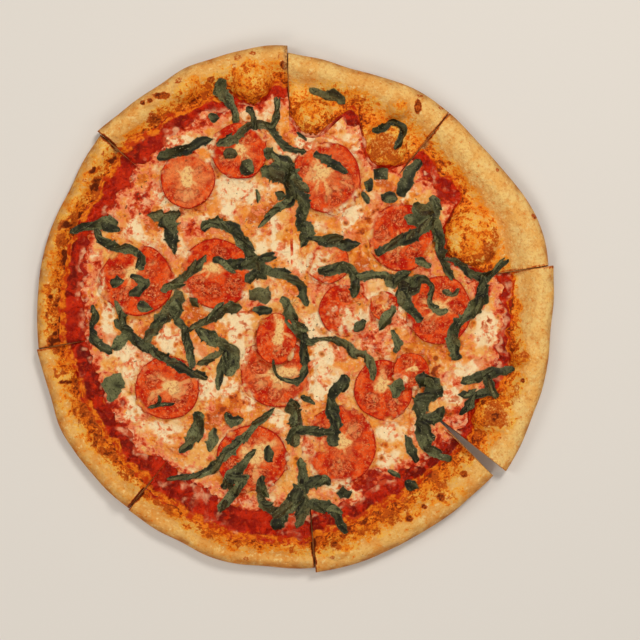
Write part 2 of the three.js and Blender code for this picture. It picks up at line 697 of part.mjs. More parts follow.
BASIL.forEach((routes, index) => {
  addPiece(numbered("basil", index), basilCluster(routes, ground), basil);
});

// The middle of the pizza's box goes to the origin.
const box = new THREE.Box3().setFromObject(pizza);
const middle = box.getCenter(new THREE.Vector3());
pizza.children.forEach((mesh) => mesh.position.set(-middle.x, -middle.y, 0));

export default pizza;
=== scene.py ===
"""A margherita pizza in eight slices, dressed with bread, sauce, melted cheese, tomato slices and basil.

Every piece replaces the solid of its own name. Lengths are millimetres from the middle of the recipe's
drawing, which lies SHIFT away from the middle of the model's box. Only the studio is in metres.
"""
import math

import bmesh
import bpy
import numpy as np
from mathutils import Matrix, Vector
from mathutils.bvhtree import BVHTree


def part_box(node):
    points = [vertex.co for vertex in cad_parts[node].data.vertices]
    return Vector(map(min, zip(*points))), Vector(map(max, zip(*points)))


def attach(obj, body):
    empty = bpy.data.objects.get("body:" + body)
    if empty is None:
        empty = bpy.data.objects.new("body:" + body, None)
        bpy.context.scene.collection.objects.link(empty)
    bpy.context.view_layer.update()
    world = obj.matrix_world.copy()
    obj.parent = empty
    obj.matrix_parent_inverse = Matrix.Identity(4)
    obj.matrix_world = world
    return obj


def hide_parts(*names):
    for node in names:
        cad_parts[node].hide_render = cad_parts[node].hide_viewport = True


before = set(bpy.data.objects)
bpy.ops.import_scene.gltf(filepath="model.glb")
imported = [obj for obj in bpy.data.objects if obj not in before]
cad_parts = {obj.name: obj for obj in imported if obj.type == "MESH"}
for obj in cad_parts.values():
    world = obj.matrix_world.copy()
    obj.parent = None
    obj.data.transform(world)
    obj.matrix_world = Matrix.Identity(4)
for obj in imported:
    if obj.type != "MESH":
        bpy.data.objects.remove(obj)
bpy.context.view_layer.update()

MM = 0.001
SHIFT = (-0.278, -0.151)

# Bread
CUT_CENTRE = (-1.5, 4)
CUT_GAP = 1.0
BASE_THICKNESS = 4.5
SIDE_HEIGHT = 5.5
UNDERCUT = 3.5
SIDE_BENDS = 7  # points from the flat underside up the side of the rim
MIDDLE_OF_RIM = 150  # distance from the tip at which the ways across a slice are measured
CRUMB_BULGE = 0.46  # how far the soft crumb swells into a cut

# Layers
SAUCE_BOTTOM = 4.8
SAUCE_TOP = 5.8
SAUCE_MOUND = 0.7
CHEESE_BOTTOM = 6.1
CHEESE_THICKNESS = 2.3
CHEESE_RELIEF = 0.9
LAYER_START = 0.3  # distance from the tip of a slice
OVERLAP = 0.02  # how far a layer goes past the middle of a cut that has closed

# Toppings
TOMATO_THICKNESS = 3.4
BASIL_THICKNESS = 0.5
SHRED_STEP = 1.0  # between the rows of a ribbon
SETTLING_ROUNDS = 10
LEVEL = (0, 0)  # slope of a tomato slice that lies flat
ABOVE_ALL = 60  # height from which the ground is felt for

# Fineness of the meshes
SLICE_ROWS = 130  # from one cut to the other
RIM_COLUMNS = 62
SAUCE_COLUMNS = 34
CHEESE_COLUMNS = 118
TOMATO_ROWS = 96
SHARP_ANGLE = 60  # degrees from which an edge looks sharp
LEAF_SHARP_ANGLE = 25

# Studio, in metres, but the place on the pizza at which the camera looks is in millimetres
LAMP_COLOR = (1.0, 0.925, 0.84)
FLOOR = 6.0  # half its width
CAMERA_HEIGHT = 1.2
TOPPINGS_HEIGHT = 0.01  # where the picture is FRAME_WIDTH wide
FRAME_WIDTH = 0.448
FRAME_MIDDLE = (17.5, -7.7)

LETTERS = "abcdefgh"

# The slices as in the solids: directions of the two cuts in degrees, then values spaced evenly between them:
# radius, width and height of the rim, width of the band where the sauce shows, and width of the smooth golden
# band outside the toasted one. Last, from 0 to 1: how mottled the toasted band is, how much cheese has run
# into the sauce, and how far the toast reaches into the sauce.
SLICES = {
    "a": ((91.2, 138.7), (185.5, 186, 185.5, 184, 187), (27, 28, 21), (15, 16, 14),
          (6, 9, 15), (13, 13, 21), 0.4, 0.35, 0.4),
    "b": ((50.6, 91.2), (175, 175.5, 173.5, 175, 180.5), (30, 29, 23), (15, 15, 16),
          (8, 6, 5), (24, 17, 20), 0.3, 0.8, 0.3),
    "c": ((8.3, 50.6), (181, 181.5, 177, 173.5, 175), (31, 33, 32), (16, 17, 16),
          (7, 6, 11), (27, 27, 25), 0.2, 0.5, 0.1),
    "d": ((-38.3, 8.3), (187, 183.5, 181.5, 180.5, 184.5), (32, 29, 30), (15, 16, 16),
          (10, 7, 6), (21, 21, 29), 0.15, 0.6, 0.35),
    "e": ((-85.2, -38.3), (186, 184, 180.5, 180.5, 182), (25, 30, 31), (15, 16, 16),
          (14, 15, 9), (16, 16, 21), 0.6, 0.12, 0.5),
    "f": ((-128.6, -85.2), (183.5, 182.5, 184, 182, 182.5), (21, 19, 20), (14, 14, 15),
          (21, 22, 20), (16, 15, 15), 0.6, 0.5, 0.1),
    "g": ((-169.8, -128.6), (183.5, 182.5, 185, 184, 182.5), (20, 24, 22), (13, 14, 14),
          (15, 13, 18), (11, 14, 17), 0.7, 0.4, 0.35),
    "h": ((138.7, 190.2), (183.5, 179.5, 180.5, 181.5, 182.5), (21, 18, 18), (14, 13, 13),
          (13, 12, 15), (12, 7, 8), 0.95, 0.15, 0.2),
}

# How many degrees a slice's second cut bends aside at the rim
FLARE = {"e": -2.4}

# The distance beyond which each cut shows as an open gap, by the slice whose second cut it is
GAP_START = {"a": 163, "b": 150, "c": 123, "d": 137, "e": 130, "f": 147, "g": 161, "h": 164}

# How dark the bread is along each cut, toast and painted shade of the gap, again by the slice whose second
# cut it is
CUT_TOAST_AND_SHADE = {"a": 1, "b": 0.15, "c": 0.7, "d": 0.6, "e": 0.4, "f": 1, "g": 0.95, "h": 0.6}

# Stretches nearer the middle where the cut shows as a thin line all the same
TORN = {"a": [(29, 39), (46, 67)], "d": [(90, 104)], "e": [(96, 118)]}

# Where a slice leans away from its neighbour and shows its crumb: slice, from and to which distance, along
# its first cut (0) or its second (1), and how wide
LEANING = [("c", 112, 148, 1, 2.6), ("d", 122, 142, 1, 2.2), ("h", 150, 166, 0, 3), ("a", 160, 186, 0, 2.4)]

# Bubbles in the bread: middle x and y, two radii, height
BUBBLES = [
    (-31, 159, 15, 14, 14), (12.5, 135.5, 14, 13, 9), (64, 116, 15, 17, 9.5), (124, 50, 20, 20, 10),
    (139, -74, 16, 14, 12.5), (-162, -46, 9, 8, 9), (-78, 152, 9, 8, 12.5), (73, 141, 9, 8, 12.5),
    (-102, 145, 7, 6, 11), (159, -33, 8, 8, 13), (29, -168, 10, 8, 12), (-120, -128, 9, 8, 11.5),
]

# The next eight lists hold soft patches: x, y, two radii and strength.
# Burnt spots on the bread
CHAR = [
    (-93, 149, 6, 3, 0.8), (-81, 159, 3, 2.5, 0.7), (-106, 144, 2.5, 2, 0.9), (-101, 145, 2.5, 2, 0.9),
    (-59, 160, 3, 2.5, 0.8), (-40, 176, 3, 3, 0.6), (-29, 178, 3, 2, 0.7), (-13, 176, 2.5, 2.5, 0.5),
    (-8, 170, 2, 3, 1), (-98, 133, 7, 4, 0.7), (-42, 169, 2, 3, 0.6), (86, 141, 2.5, 5, 0.9),
    (87, 149, 2.5, 1.5, 0.7), (102, 141, 2, 2, 0.7), (43, 148, 2.5, 2.5, 0.6), (48, 147, 2, 2, 0.6),
    (141, 97, 1.5, 2, 0.7), (168, 65, 2.5, 2, 0.8), (159, -32, 5, 5, 0.6), (159, -50, 1.5, 1.5, 1),
    (150, -62, 9, 8, 0.4), (155, -55, 3, 3, 0.6), (157, -65, 1.5, 1, 0.8), (143, -90, 2, 1.5, 0.5),
    (118, -115, 2.5, 2.5, 0.8), (101, -131, 4.5, 4, 0.9), (90, -138, 2.5, 2.5, 0.9),
    (80, -146, 3, 2.5, 0.9), (46, -146, 2.5, 2, 0.9), (58, -143, 2.5, 2, 0.9), (28, -164, 2.5, 2, 0.9),
    (26, -173, 2, 1.5, 0.7), (-76, -141, 8, 4, 0.6), (-88, -133, 5, 3, 0.7), (-50, -156, 7, 3, 0.7),
    (-20, -163, 9, 3, 0.7), (-34, -174, 3, 2, 0.6), (-160, -51, 4, 1.5, 1), (-167, -72, 3, 2.5, 0.4),
    (-147, -71, 5, 6, 0.7), (-138, 87, 4, 6, 0.8), (-141, 80, 3, 5, 0.7), (-154, 62, 4, 7, 0.6),
    (-163, 48, 4, 7, 0.6), (-161, 35, 3.5, 6, 0.9), (-161, 22, 4, 8, 0.6), (-170, 15, 3, 4, 0.5),
    (-165, 3, 4, 7, 0.7), (-162, -15, 5, 8, 0.9), (-177, 40, 2, 6, 0.6), (136, 39, 6, 8, 0.62),
    (129, 36, 5, 5, 0.5), (140, 49, 4, 9, 0.5), (8, 130, 4, 3.5, 0.5), (9, 126, 6, 3, 0.5),
    (-34, 164, 6, 5, 0.35), (-27, 156, 5, 4, 0.3), (64, 113, 15, 16, 0.56), (139, -74, 13, 11, 0.58),
    (139, -75, 4, 3, 1), (133, -80, 4, 3, 0.7), (143, -66, 5, 4, 0.5), (128, -87, 4, 4, 0.7),
]

# Places where the bread is toasted orange right across the rim, as on the bubbles
TOASTED = [
    (-31, 159, 15, 14, 1), (12.5, 136, 14, 13, 1), (64, 118, 19, 19, 1), (122, 52, 19, 20, 1),
    (137, -76, 17, 14, 0.9), (150, -52, 12, 12, 0.6), (159, -33, 5, 5, 1), (-162, -45, 7, 7, 0.8),
    (-78, 152, 6, 5, 0.6), (74, 141, 5, 5, 0.8), (-167, -70, 5, 7, 0.3), (106, 92, 12, 12, 0.8),
    (102, -128, 16, 9, 0.8), (30, 140, 18, 8, 0.5),
]

# Where the cheese is thin and the sauce colours it
PINK = [
    (-100, 120, 34, 20, 0.95), (-125, 96, 17, 15, 0.8), (-65, 139, 14, 12, 0.8), (-136, 72, 12, 14, 0.7),
    (-100, 82, 10, 8, 0.5), (-109, 72, 11, 13, 0.8), (-2, 150, 8, 10, 0.8), (42, 137, 10, 10, 0.9),
    (96, 100, 13, 20, 0.9), (112, 76, 12, 14, 1), (146, 2, 6, 24, 0.8), (142, -38, 12, 5, 0.7),
    (116, -76, 14, 10, 0.9), (104, -96, 14, 16, 0.7), (56, -120, 24, 10, 1), (-48, -136, 30, 12, 0.7),
    # The patch at (-124, -67) is painted shadow beside a shred of basil.
    (-120, -84, 24, 14, 0.75), (-140, -58, 12, 16, 0.6), (-124, -67, 10, 7, 1), (-146, -38, 10, 12, 0.7),
    (-140, 24, 6, 26, 0.5), (-27, 3, 7, 6, 0.5), (-72, 58, 9, 8, 0.5), (-84, 62, 8, 6, 0.4),
    (68, -10, 12, 7, 0.4), (54, -23, 13, 10, 0.85), (30, 20, 10, 7, 0.4), (14, 12, 10, 9, 0.6),
    (50, -8, 12, 10, 0.7), (44, 14, 8, 8, 0.6), (84, -12, 8, 8, 0.6), (108, -50, 10, 9, 0.6),
    (-112, 52, 8, 8, 0.5), (46, -18, 8, 8, 0.5), (90, 30, 8, 12, 0.4), (7, -110, 6, 10, 0.4),
    (106, 86, 10, 18, 1.2), (130, 14, 10, 8, 1.1),
]

# Where the cheese lies thick and pale
THICK = [
    (-76, 117, 20, 5, 1), (-38, 84, 18, 12, 0.65), (-50, 70, 12, 8, 1), (-17, 82, 8, 8, 0.9),
    (-110, 55, 9, 11, 1), (-88, 74, 8, 6, 0.9), (-14, 42, 15, 7, 1), (-8, 32, 6, 7, 1),
    (30, 122, 12, 10, 1), (12, 119, 16, 4, 1), (38, 68, 9, 7, 1), (18, 57, 6, 5, 0.5), (14, 35, 8, 4, 0.8),
    (-132, 0, 6, 14, 1), (-90, -22, 8, 8, 0.9), (-112, -11, 5, 5, 0.8), (-37, -15, 9, 14, 1),
    (-118, -32, 8, 8, 1), (-119, -50, 7, 14, 0.8), (-112, -70, 8, 10, 1), (-92, -82, 18, 7, 1),
    (-63, -60, 6, 10, 1), (-46, -53, 8, 8, 0.9), (-36, -66, 6, 10, 0.9), (14, -12, 6, 10, 1),
    (19, -32, 10, 10, 1), (18, -52, 9, 14, 1), (-14, -77, 7, 6, 0.9), (42, -2, 9, 6, 0.9),
    (131, -8, 10, 12, 1), (130, -20, 13, 12, 0.9), (120, -41, 9, 6, 0.9), (109, -62, 7, 7, 0.8),
    (66, -87, 11, 8, 1), (66, -103, 11, 9, 0.9), (-88, -93, 6, 7, 0.7), (-30, 126, 10, 5, 0.6),
    (75, 79, 8, 4, 0.6),
]

# Where a bubble of the bread meets the cheese without a rim of sauce
CLEAN = [(12, 124, 16, 7, 1), (-26, 144, 9, 4, 0.5)]

# Where the cheese is toasted and speckled brown
SPECKLED = [
    (66, 52, 22, 22, 0.7), (90, -44, 20, 22, 0.9), (-47, -72, 17, 13, 1), (-73, 73, 19, 9, 0.8),
    (-20, 60, 9, 8, 0.6), (25, 55, 22, 10, 0.5), (27, -30, 12, 12, 0.5), (45, -32, 16, 10, 0.7),
    (-78, -8, 20, 14, 0.5), (106, -68, 12, 9, 0.7), (-33, -140, 20, 9, 0.7), (-100, 115, 14, 8, 0.5),
    (8, 20, 14, 10, 0.5), (-30, -12, 10, 14, 0.6), (124, -12, 14, 12, 0.4), (0, -110, 14, 12, 0.4),
    (62, -105, 10, 12, 0.5),
]

# Orange oily patches on the cheese
OILY = [
    (-101, 58, 8, 7, 0.9), (-84, 50, 6, 9, 0.7), (-72, -5, 11, 8, 0.9), (-108, -10, 7, 6, 0.8),
    (-46, -68, 12, 8, 0.9), (21, -51, 5, 4, 0.9), (26, 122, 20, 12, 0.6), (60, 80, 12, 12, 0.6),
    (88, -30, 12, 12, 0.7), (50, 34, 12, 10, 0.7), (-5, 40, 14, 12, 0.4), (-105, 70, 10, 6, 0.5),
    (120, -24, 6, 6, 0.7), (80, 20, 8, 14, 0.6), (-60, 70, 12, 8, 0.6), (105, -30, 8, 12, 0.6),
    (15, -75, 8, 6, 0.4), (-20, 75, 10, 8, 0.4), (-28, 66, 12, 9, 1), (-56, -78, 10, 8, 1),
    (48, -65, 6, 8, 0.4),
]

# Where the knife's line still shows in the cheese
SCORED = [(-2.5, 50, 8, 20, 4)]

# Tomato slices: middle, two radii and slope as in the solids. Then the look of each: the seed chambers as
# directions and half widths in degrees, the pale core as place and two sizes in shares of the radius, how
# light the flesh is, and where cheese covers the slice: place and size, again in shares of the radius.
TOMATOES = [
    ((-75, 90), (19, 19.5), LEVEL, [(262, 52), (40, 16)], (-0.05, 0.1, 0.3, 0.5), 0.45, []),
    ((-39, 110), (19.5, 19.5), LEVEL, [(60, 34), (215, 26), (300, 24)], (0.1, 0.05, 0.4, 0.25), 0.15, []),
    ((22, 92), (24, 24.5), LEVEL, [(-8, 32), (-68, 28), (165, 22)], (-0.15, 0.15, 0.45, 0.35), 0.25, []),
    ((74, 50), (22, 24), LEVEL, [(100, 30), (170, 24), (245, 28), (320, 30)],
     (-0.1, -0.1, 0.35, 0.2), 0.12, []),
    ((-110, 20), (25, 24.5), LEVEL, [(40, 28), (-42, 34), (150, 20), (225, 22)],
     (-0.15, 0.2, 0.35, 0.25), 0.06, []),
    ((-55, 25), (25, 24.5), LEVEL, [(-38, 34), (-105, 36), (205, 26), (75, 26)],
     (-0.1, 0.15, 0.45, 0.22), 0.03, []),
    ((101, -1), (23, 24), LEVEL, [(70, 28), (150, 26), (235, 26), (10, 20)], (0, 0.1, 0.4, 0.3), 0.12, []),
    ((-89, -55), (22.5, 22), LEVEL, [(150, 40), (225, 26), (15, 36), (-50, 28)],
     (0.15, 0.05, 0.42, 0.35), 0.15, []),
    ((-13, -45), (24.5, 24.5), LEVEL, [(160, 26), (215, 24), (268, 26), (325, 28)],
     (0.15, 0.0, 0.5, 0.45), 0.2, []),
    ((-13, -21), (14, 18), (0, -0.12), [(290, 44)], (0.13, 0.3, 0.35, 0.7), 0.12, []),
    ((61.5, -56.5), (20.5, 21), LEVEL, [(-40, 42), (225, 34), (80, 20)], (-0.05, 0.25, 0.4, 0.3), 0.12, []),
    ((81, -43), (12.5, 12.5), (-0.15, -0.09), [(110, 50), (300, 60)],
     (0.1, 0.1, 0.4, 0.2), 0.15, [(-0.7, -0.6, 0.5)]),
    ((31, -95), (25.5, 27), LEVEL, [(268, 36), (45, 28), (150, 26)],
     (0.05, 0.1, 0.4, 0.25), 0.2, [(-0.75, 0.0, 0.3)]),
    ((-30, -104), (24.5, 23), LEVEL, [(280, 40), (200, 30), (100, 24)], (0.1, 0.1, 0.5, 0.45), 0.1, []),
    ((23, 32), (15, 14), LEVEL, [(250, 40)],
     (0, 0, 0.2, 0.2), 0.5, [(-0.7, 0.45, 1.0), (-0.1, -0.25, 0.35)]),
    ((34, -1), (17.5, 18), LEVEL, [(200, 30), (80, 30)],
     (0.2, 0, 0.2, 0.2), 0.08, [(0.72, -0.35, 0.9), (-0.5, 0.1, 0.2)]),
    ((62.5, 2), (10, 10), LEVEL, [(220, 50), (20, 40)],
     (0, 0, 0.3, 0.3), 0.1, [(-0.4, 0.6, 0.65), (0.8, -0.5, 0.5)]),
]

# Shreds of basil as routes of (x, y, width), one list for each solid
BASIL = [
    [[(-53, 161, 8), (-52, 153, 9), (-46, 146, 7), (-42, 138, 5), (-41, 130, 4)]],
    [[(-55, 115, 5), (-44, 118, 6), (-34, 126, 6), (-24, 130, 6), (-16, 129, 6), (-13, 136, 5),
      (-13, 149, 4)],
     [(-34, 142, 4), (-30, 137, 4), (-27, 125, 4)],
     [(-18, 130, 5), (-11, 117, 5), (-3, 112, 5), (8, 110, 4)]],
    [[(-22, 111, 6), (-6, 102, 8), (1, 88, 9), (5, 74, 9), (4, 62, 9), (8, 54, 10), (4, 43, 3)],
     [(-24, 98, 6), (-14, 96, 12), (-6, 92, 9), (-3, 76, 7), (-14, 69, 6), (-26, 57, 4)],
     [(5, 53, 4), (13, 49, 4), (26, 47, 9), (36, 45, 9), (46, 46, 6)]],
    [[(-66, 56, 5), (-60, 60, 6), (-52, 60, 7), (-43, 57, 8), (-38, 50, 8), (-32, 39, 8), (-27, 31, 5)],
     [(-57, 36, 6), (-47, 31, 7), (-36, 31, 7), (-26, 33, 7), (-14, 39, 4)],
     [(-35, 19, 5), (-25, 26, 8), (-9, 24, 7), (3, 16, 7), (9, 2, 5)], [(-27, 33, 4), (-25, 24, 4)]],
    [[(16, 27, 5), (25, 27, 7), (36, 29, 7), (43, 22, 7), (42, 14, 6), (40, 8, 5)],
     [(42, 23, 6), (55, 24, 6), (63, 23, 6), (64, 18, 4)]],
    [[(97, 80, 7), (98, 66, 8), (100, 48, 7), (104, 33, 5), (110, 20, 4)],
     [(83, 74, 9), (90, 66, 13), (97, 58, 8)],
     [(56, 39, 5), (67, 44, 6), (80, 50, 7), (90, 57, 7), (98, 62, 5)],
     [(104, 35, 4), (112, 34, 4), (122, 26, 6), (133, 22, 7), (143, 29, 5), (150, 35, 3)],
     [(131, 24, 6), (132, 10, 8), (126, 1, 9), (118, -6, 7), (111, -14, 7), (111, -25, 9),
      (113, -36, 7)]],
    [[(64, 16, 8), (72, 20, 12), (80, 17, 13), (89, 21, 6), (96, 15, 4), (94, 4, 4), (100, -2, 5),
      (107, -1, 3)],
     [(72, 14, 9), (78, 6, 9), (82, -1, 7), (88, -9, 4)]],
    [[(-158, 53, 4), (-150, 57, 6), (-141, 58, 6), (-131, 59, 11), (-124, 61, 8)],
     [(-140, 57, 5), (-136, 48, 6), (-126, 43, 6), (-118, 42, 6), (-111, 40, 6), (-107, 34, 6),
      (-108, 27, 4)]],
    [[(-94, 13, 5), (-80, 20, 6), (-70, 28, 6), (-62, 38, 4)]],
    [[(-127, -8, 5), (-118, -15, 7), (-109, -24, 7), (-98, -30, 7), (-88, -36, 7), (-76, -43, 6),
      (-61, -48, 4)],
     [(-79, 12, 9), (-86, 1, 12), (-95, -9, 9), (-105, -23, 6)],
     [(-126, 6, 4), (-123, 0, 5), (-118, -14, 5)],
     [(-85, -7, 5), (-78, -13, 6), (-75, -25, 6), (-72, -42, 5)],
     [(-142, 3, 4), (-140, -6, 5), (-143, -13, 5), (-139, -24, 7), (-131, -29, 6), (-128, -31, 4)],
     [(-129, -27, 4), (-124, -24, 9), (-117, -19, 6)]],
    [[(-75, -15, 4), (-65, -9, 6), (-56, -4, 7), (-47, 0, 8), (-37, 1, 6)],
     [(-70, -14, 4), (-64, -17, 9), (-52, -24, 9), (-45, -32, 10), (-44, -40, 8), (-48, -47, 7)],
     [(-69, -39, 4), (-60, -35, 6), (-50, -30, 6)],
     [(-48, -30, 4), (-51, -38, 6), (-53, -47, 6), (-54, -57, 4)]],
    [[(-9, 9, 6), (-4, 0, 9), (0, -10, 9), (5, -18, 8), (9, -22, 5), (18, -21, 3)],
     [(15, -21, 3), (22, -21, 3), (33, -23, 6), (41, -30, 6), (50, -33, 6), (54, -41, 6), (55, -50, 4)],
     [(6, -19, 5), (6, -32, 6), (7, -43, 6), (4, -49, 5), (-5, -50, 3), (-13, -46, 2), (-15, -35, 2)]],
    [[(36, -46, 6), (34, -52, 7), (26, -59, 8), (25, -68, 8), (28, -78, 7), (27, -87, 8), (27, -96, 7)],
     [(-5, -66, 9), (0, -73, 9), (1, -83, 8), (-1, -89, 8), (0, -97, 6)],
     [(0, -85, 6), (10, -85, 6), (19, -86, 6), (28, -86, 5)]],
    [[(-14, -69, 4), (-27, -81, 5), (-46, -99, 6), (-56, -109, 6), (-64, -115, 5), (-90, -119, 3)]],
    [[(-27, -98, 3), (-34, -105, 5), (-40, -112, 7), (-46, -119, 8), (-51, -126, 6)],
     [(-32, -116, 5), (-42, -119, 5), (-49, -119, 5)],
     [(-34, -117, 5), (-42, -128, 6), (-50, -137, 6), (-54, -142, 4)]],
    [[(4, -104, 5), (5, -116, 7), (5, -124, 9), (0, -130, 10), (-6, -139, 11), (-11, -148, 10),
      (-15, -155, 6)],
     [(3, -122, 6), (12, -122, 8), (25, -119, 6)],
     [(-23, -116, 5), (-24, -128, 7), (-21, -138, 7), (-8, -143, 6)],
     [(2, -127, 7), (7, -134, 8), (5, -143, 8), (1, -154, 5)],
     [(5, -134, 5), (16, -138, 8), (27, -142, 7), (32, -151, 6), (37, -157, 4)]],
    [[(86, -74, 7), (90, -86, 10), (92, -96, 9), (99, -102, 6), (110, -106, 4)],
     [(104, -68, 5), (98, -76, 8), (89, -80, 7)], [(84, -48, 6), (93, -50, 9), (102, -54, 8)],
     [(103, -54, 8), (95, -60, 11), (84, -67, 10)], [(84, -64, 6), (87, -70, 8), (88, -77, 7)]],
    [[(116, -52, 5), (127, -48, 7), (135, -45, 7), (146, -44, 6), (154, -42, 4)],
     [(134, -45, 5), (137, -54, 6), (142, -62, 4)], [(114, -60, 5), (127, -60, 6), (138, -58, 6)],
     [(127, -59, 4), (122, -67, 5), (115, -74, 3)]],
    [[(-66, -72, 8), (-69, -83, 9), (-73, -92, 7), (-81, -101, 5)]],
]

# Shreds and scraps that belong to the piece they lie on
SCRAPS = {
    "crust_slice_b": [
        [(54, 124, 5), (62, 127, 5), (67, 131, 5), (76, 127, 5), (75, 121, 5), (70, 111, 5)],
        [(10, 155, 4), (20, 151, 6), (29, 149, 7), (35, 144, 4)],
    ],
    "cheese_slice_a": [
        [(-97, 106, 6), (-87, 108, 8), (-75, 112, 7), (-65, 117, 6), (-57, 119, 3)],
        [(-61, 135, 5), (-57, 135, 8), (-53, 134, 5)], [(-14, 82, 3), (-10, 80, 6), (-6, 79, 3)],
        [(-27, 84, 2), (-26, 79, 4), (-26, 74, 3)],
    ],
    "cheese_slice_b": [
        [(55, 98, 6), (60, 95, 10), (65, 91, 6)], [(53, 92, 4), (52, 87, 7), (51, 82, 4)],
        [(47, 82, 3), (49, 78, 5), (52, 74, 3)], [(1, 124, 2), (5, 121, 3), (8, 118, 2)],
    ],
    "cheese_slice_c": [
        [(73, 79, 7), (78, 89, 10), (83, 98, 8), (88, 105, 5)], [(61, 76, 5), (66, 78, 8), (72, 77, 5)],
        [(84, 36, 4), (89, 33, 6), (95, 29, 4)],
    ],
    "cheese_slice_d": [
        [(59, -15, 6), (64, -7, 8), (70, 2, 6)], [(67, -15, 4), (71, -21, 6), (71, -31, 4)],
    ],
    "cheese_slice_e": [
        [(29, -129, 6), (34, -129, 8), (40, -128, 5)], [(4, -61, 3), (9, -63, 5), (14, -67, 3)],
        [(77, -88, 4), (81, -97, 6), (85, -108, 5)], [(65, -113, 3), (70, -116, 4), (74, -119, 3)],
    ],
    "crust_slice_e": [[(77, -121, 4), (82, -124, 7), (87, -126, 4)]],
    "cheese_slice_f": [
        [(-6, -69, 4), (-1, -67, 7), (4, -68, 4)], [(-57, -83, 4), (-58, -91, 8), (-60, -100, 4)],
        [(-48, -72, 4), (-45, -78, 6), (-36, -77, 4)],
    ],
    "cheese_slice_g": [[(-122, -45, 7), (-127, -55, 15), (-130, -65, 7)]],
    "cheese_slice_h": [
        [(-104, 66, 5), (-92, 65, 8), (-80, 66, 6)],
        [(-91, 65, 12), (-87, 54, 10), (-85, 45, 7), (-84, 38, 3)],
        [(-32, 7, 6), (-25, 10, 11), (-17, 7, 7)], [(-30, -1, 4), (-23, -1, 7), (-16, 0, 5)],
        [(-74, 8, 3), (-70, 4, 6), (-67, 1, 3)],
    ],
    "tomato_02": [
        [(-50, 109, 6), (-45, 109, 7), (-40, 108, 5)], [(-37, 103, 7), (-33, 99, 10), (-29, 95, 6)],
    ],
    "tomato_03": [[(13, 108, 5), (21, 105, 7), (29, 100, 7), (37, 95, 5)]],
    "tomato_04": [[(76, 64, 5), (83, 62, 8), (90, 57, 5)]],
    "tomato_05": [
        [(-129, 18, 5), (-124, 19, 7), (-119, 20, 5)],
        [(-115, 22, 5), (-110, 22, 6), (-104, 17, 5), (-110, 12, 6), (-116, 10, 4)],
        [(-110, 3, 5), (-105, 1, 7), (-99, 0, 4)],
    ],
    "tomato_07": [[(103, 13, 4), (110, 10, 4), (115, 14, 3)]],
    "tomato_08": [
        [(-103, -69, 2), (-94, -67, 3), (-84, -66, 2)], [(-95, -60, 2), (-94, -64, 3), (-98, -68, 2)],
    ],
    "tomato_11": [[(73, -48, 5), (71, -55, 8), (68, -62, 5)]],
    "tomato_14": [[(-18, -95, 5), (-18, -101, 9), (-19, -107, 5)]],
    "tomato_16": [[(41, -15, 5), (45.5, -12, 9), (50, -8.5, 5)]],
}


# ---------------- numbers


def smooth(x, low, high):
    t = np.clip((x - low) / (high - low), 0, 1)
    return t * t * (3 - 2 * t)


def between(x, low, high, soft):
    """1 from low to high and 0 outside, with soft ends"""
    return smooth(x, low, low + soft) * (1 - smooth(x, high - soft, high))


def mix(a, b, t):
    return a + (b - a) * t


def lattice(ix, iy):
    """A random number from 0 to 1 for each place, always the same one"""
    s = np.sin(ix * 127.1 + iy * 311.7) * 43758.5453
    return s - np.floor(s)


def bumps(x, y):
    """Smooth bumps between -1 and 1, as wide as one unit."""
    x, y = np.broadcast_arrays(np.asarray(x, float), np.asarray(y, float))
    ix, iy = np.floor(x), np.floor(y)
    fx, fy = smooth(x - ix, 0, 1), smooth(y - iy, 0, 1)
    low = mix(lattice(ix, iy), lattice(ix + 1, iy), fx)
    high = mix(lattice(ix, iy + 1), lattice(ix + 1, iy + 1), fx)
    return 2 * mix(low, high, fy) - 1


def lumps(x, y, size, shift_x=0, shift_y=0):
    """Bumps as wide as a size in millimetres"""
    return bumps(x / size + shift_x, y / size + shift_y)


def along(values, u):
    """Numbers spaced evenly from 0 to 1 become a smooth line through them."""
    values = np.asarray(values, float)
    knots = np.concatenate([[2 * values[0] - values[1]], values, [2 * values[-1] - values[-2]]])
    t = np.clip(u, 0, 1) * (len(values) - 1)
    i = np.minimum(np.floor(t).astype(int), len(values) - 2)
    w = t - i
    before, a, b, after = knots[i], knots[i + 1], knots[i + 2], knots[i + 3]
    from_a, to_b = (b - before) / 2, (after - a) / 2
    return a + from_a * w + (3 * (b - a) - 2 * from_a - to_b) * w**2 + (2 * (a - b) + from_a + to_b) * w**3


def patches(x, y, places, ragged=0.25, ring=False):
    """How strongly the soft patches of a list cover a point. Their edges are ragged and, with ring, small
    ones are weaker inside."""
    wobble = ragged * (lumps(x, y, 5) + 0.6 * lumps(x, y, 2.3, 9))
    cover = np.zeros(np.shape(x))
    for px, py, rx, ry, strength in places:
        away = np.sqrt(((x - px) / rx) ** 2 + ((y - py) / ry) ** 2) + wobble
        inner = 0.72 + 0.28 * smooth(away, 0.1, 0.8) if ring and rx + ry < 9 else 1
        cover = np.maximum(cover, strength * inner * (1 - smooth(away, 0.5, 1.3)))
    return cover


# ---------------- slices


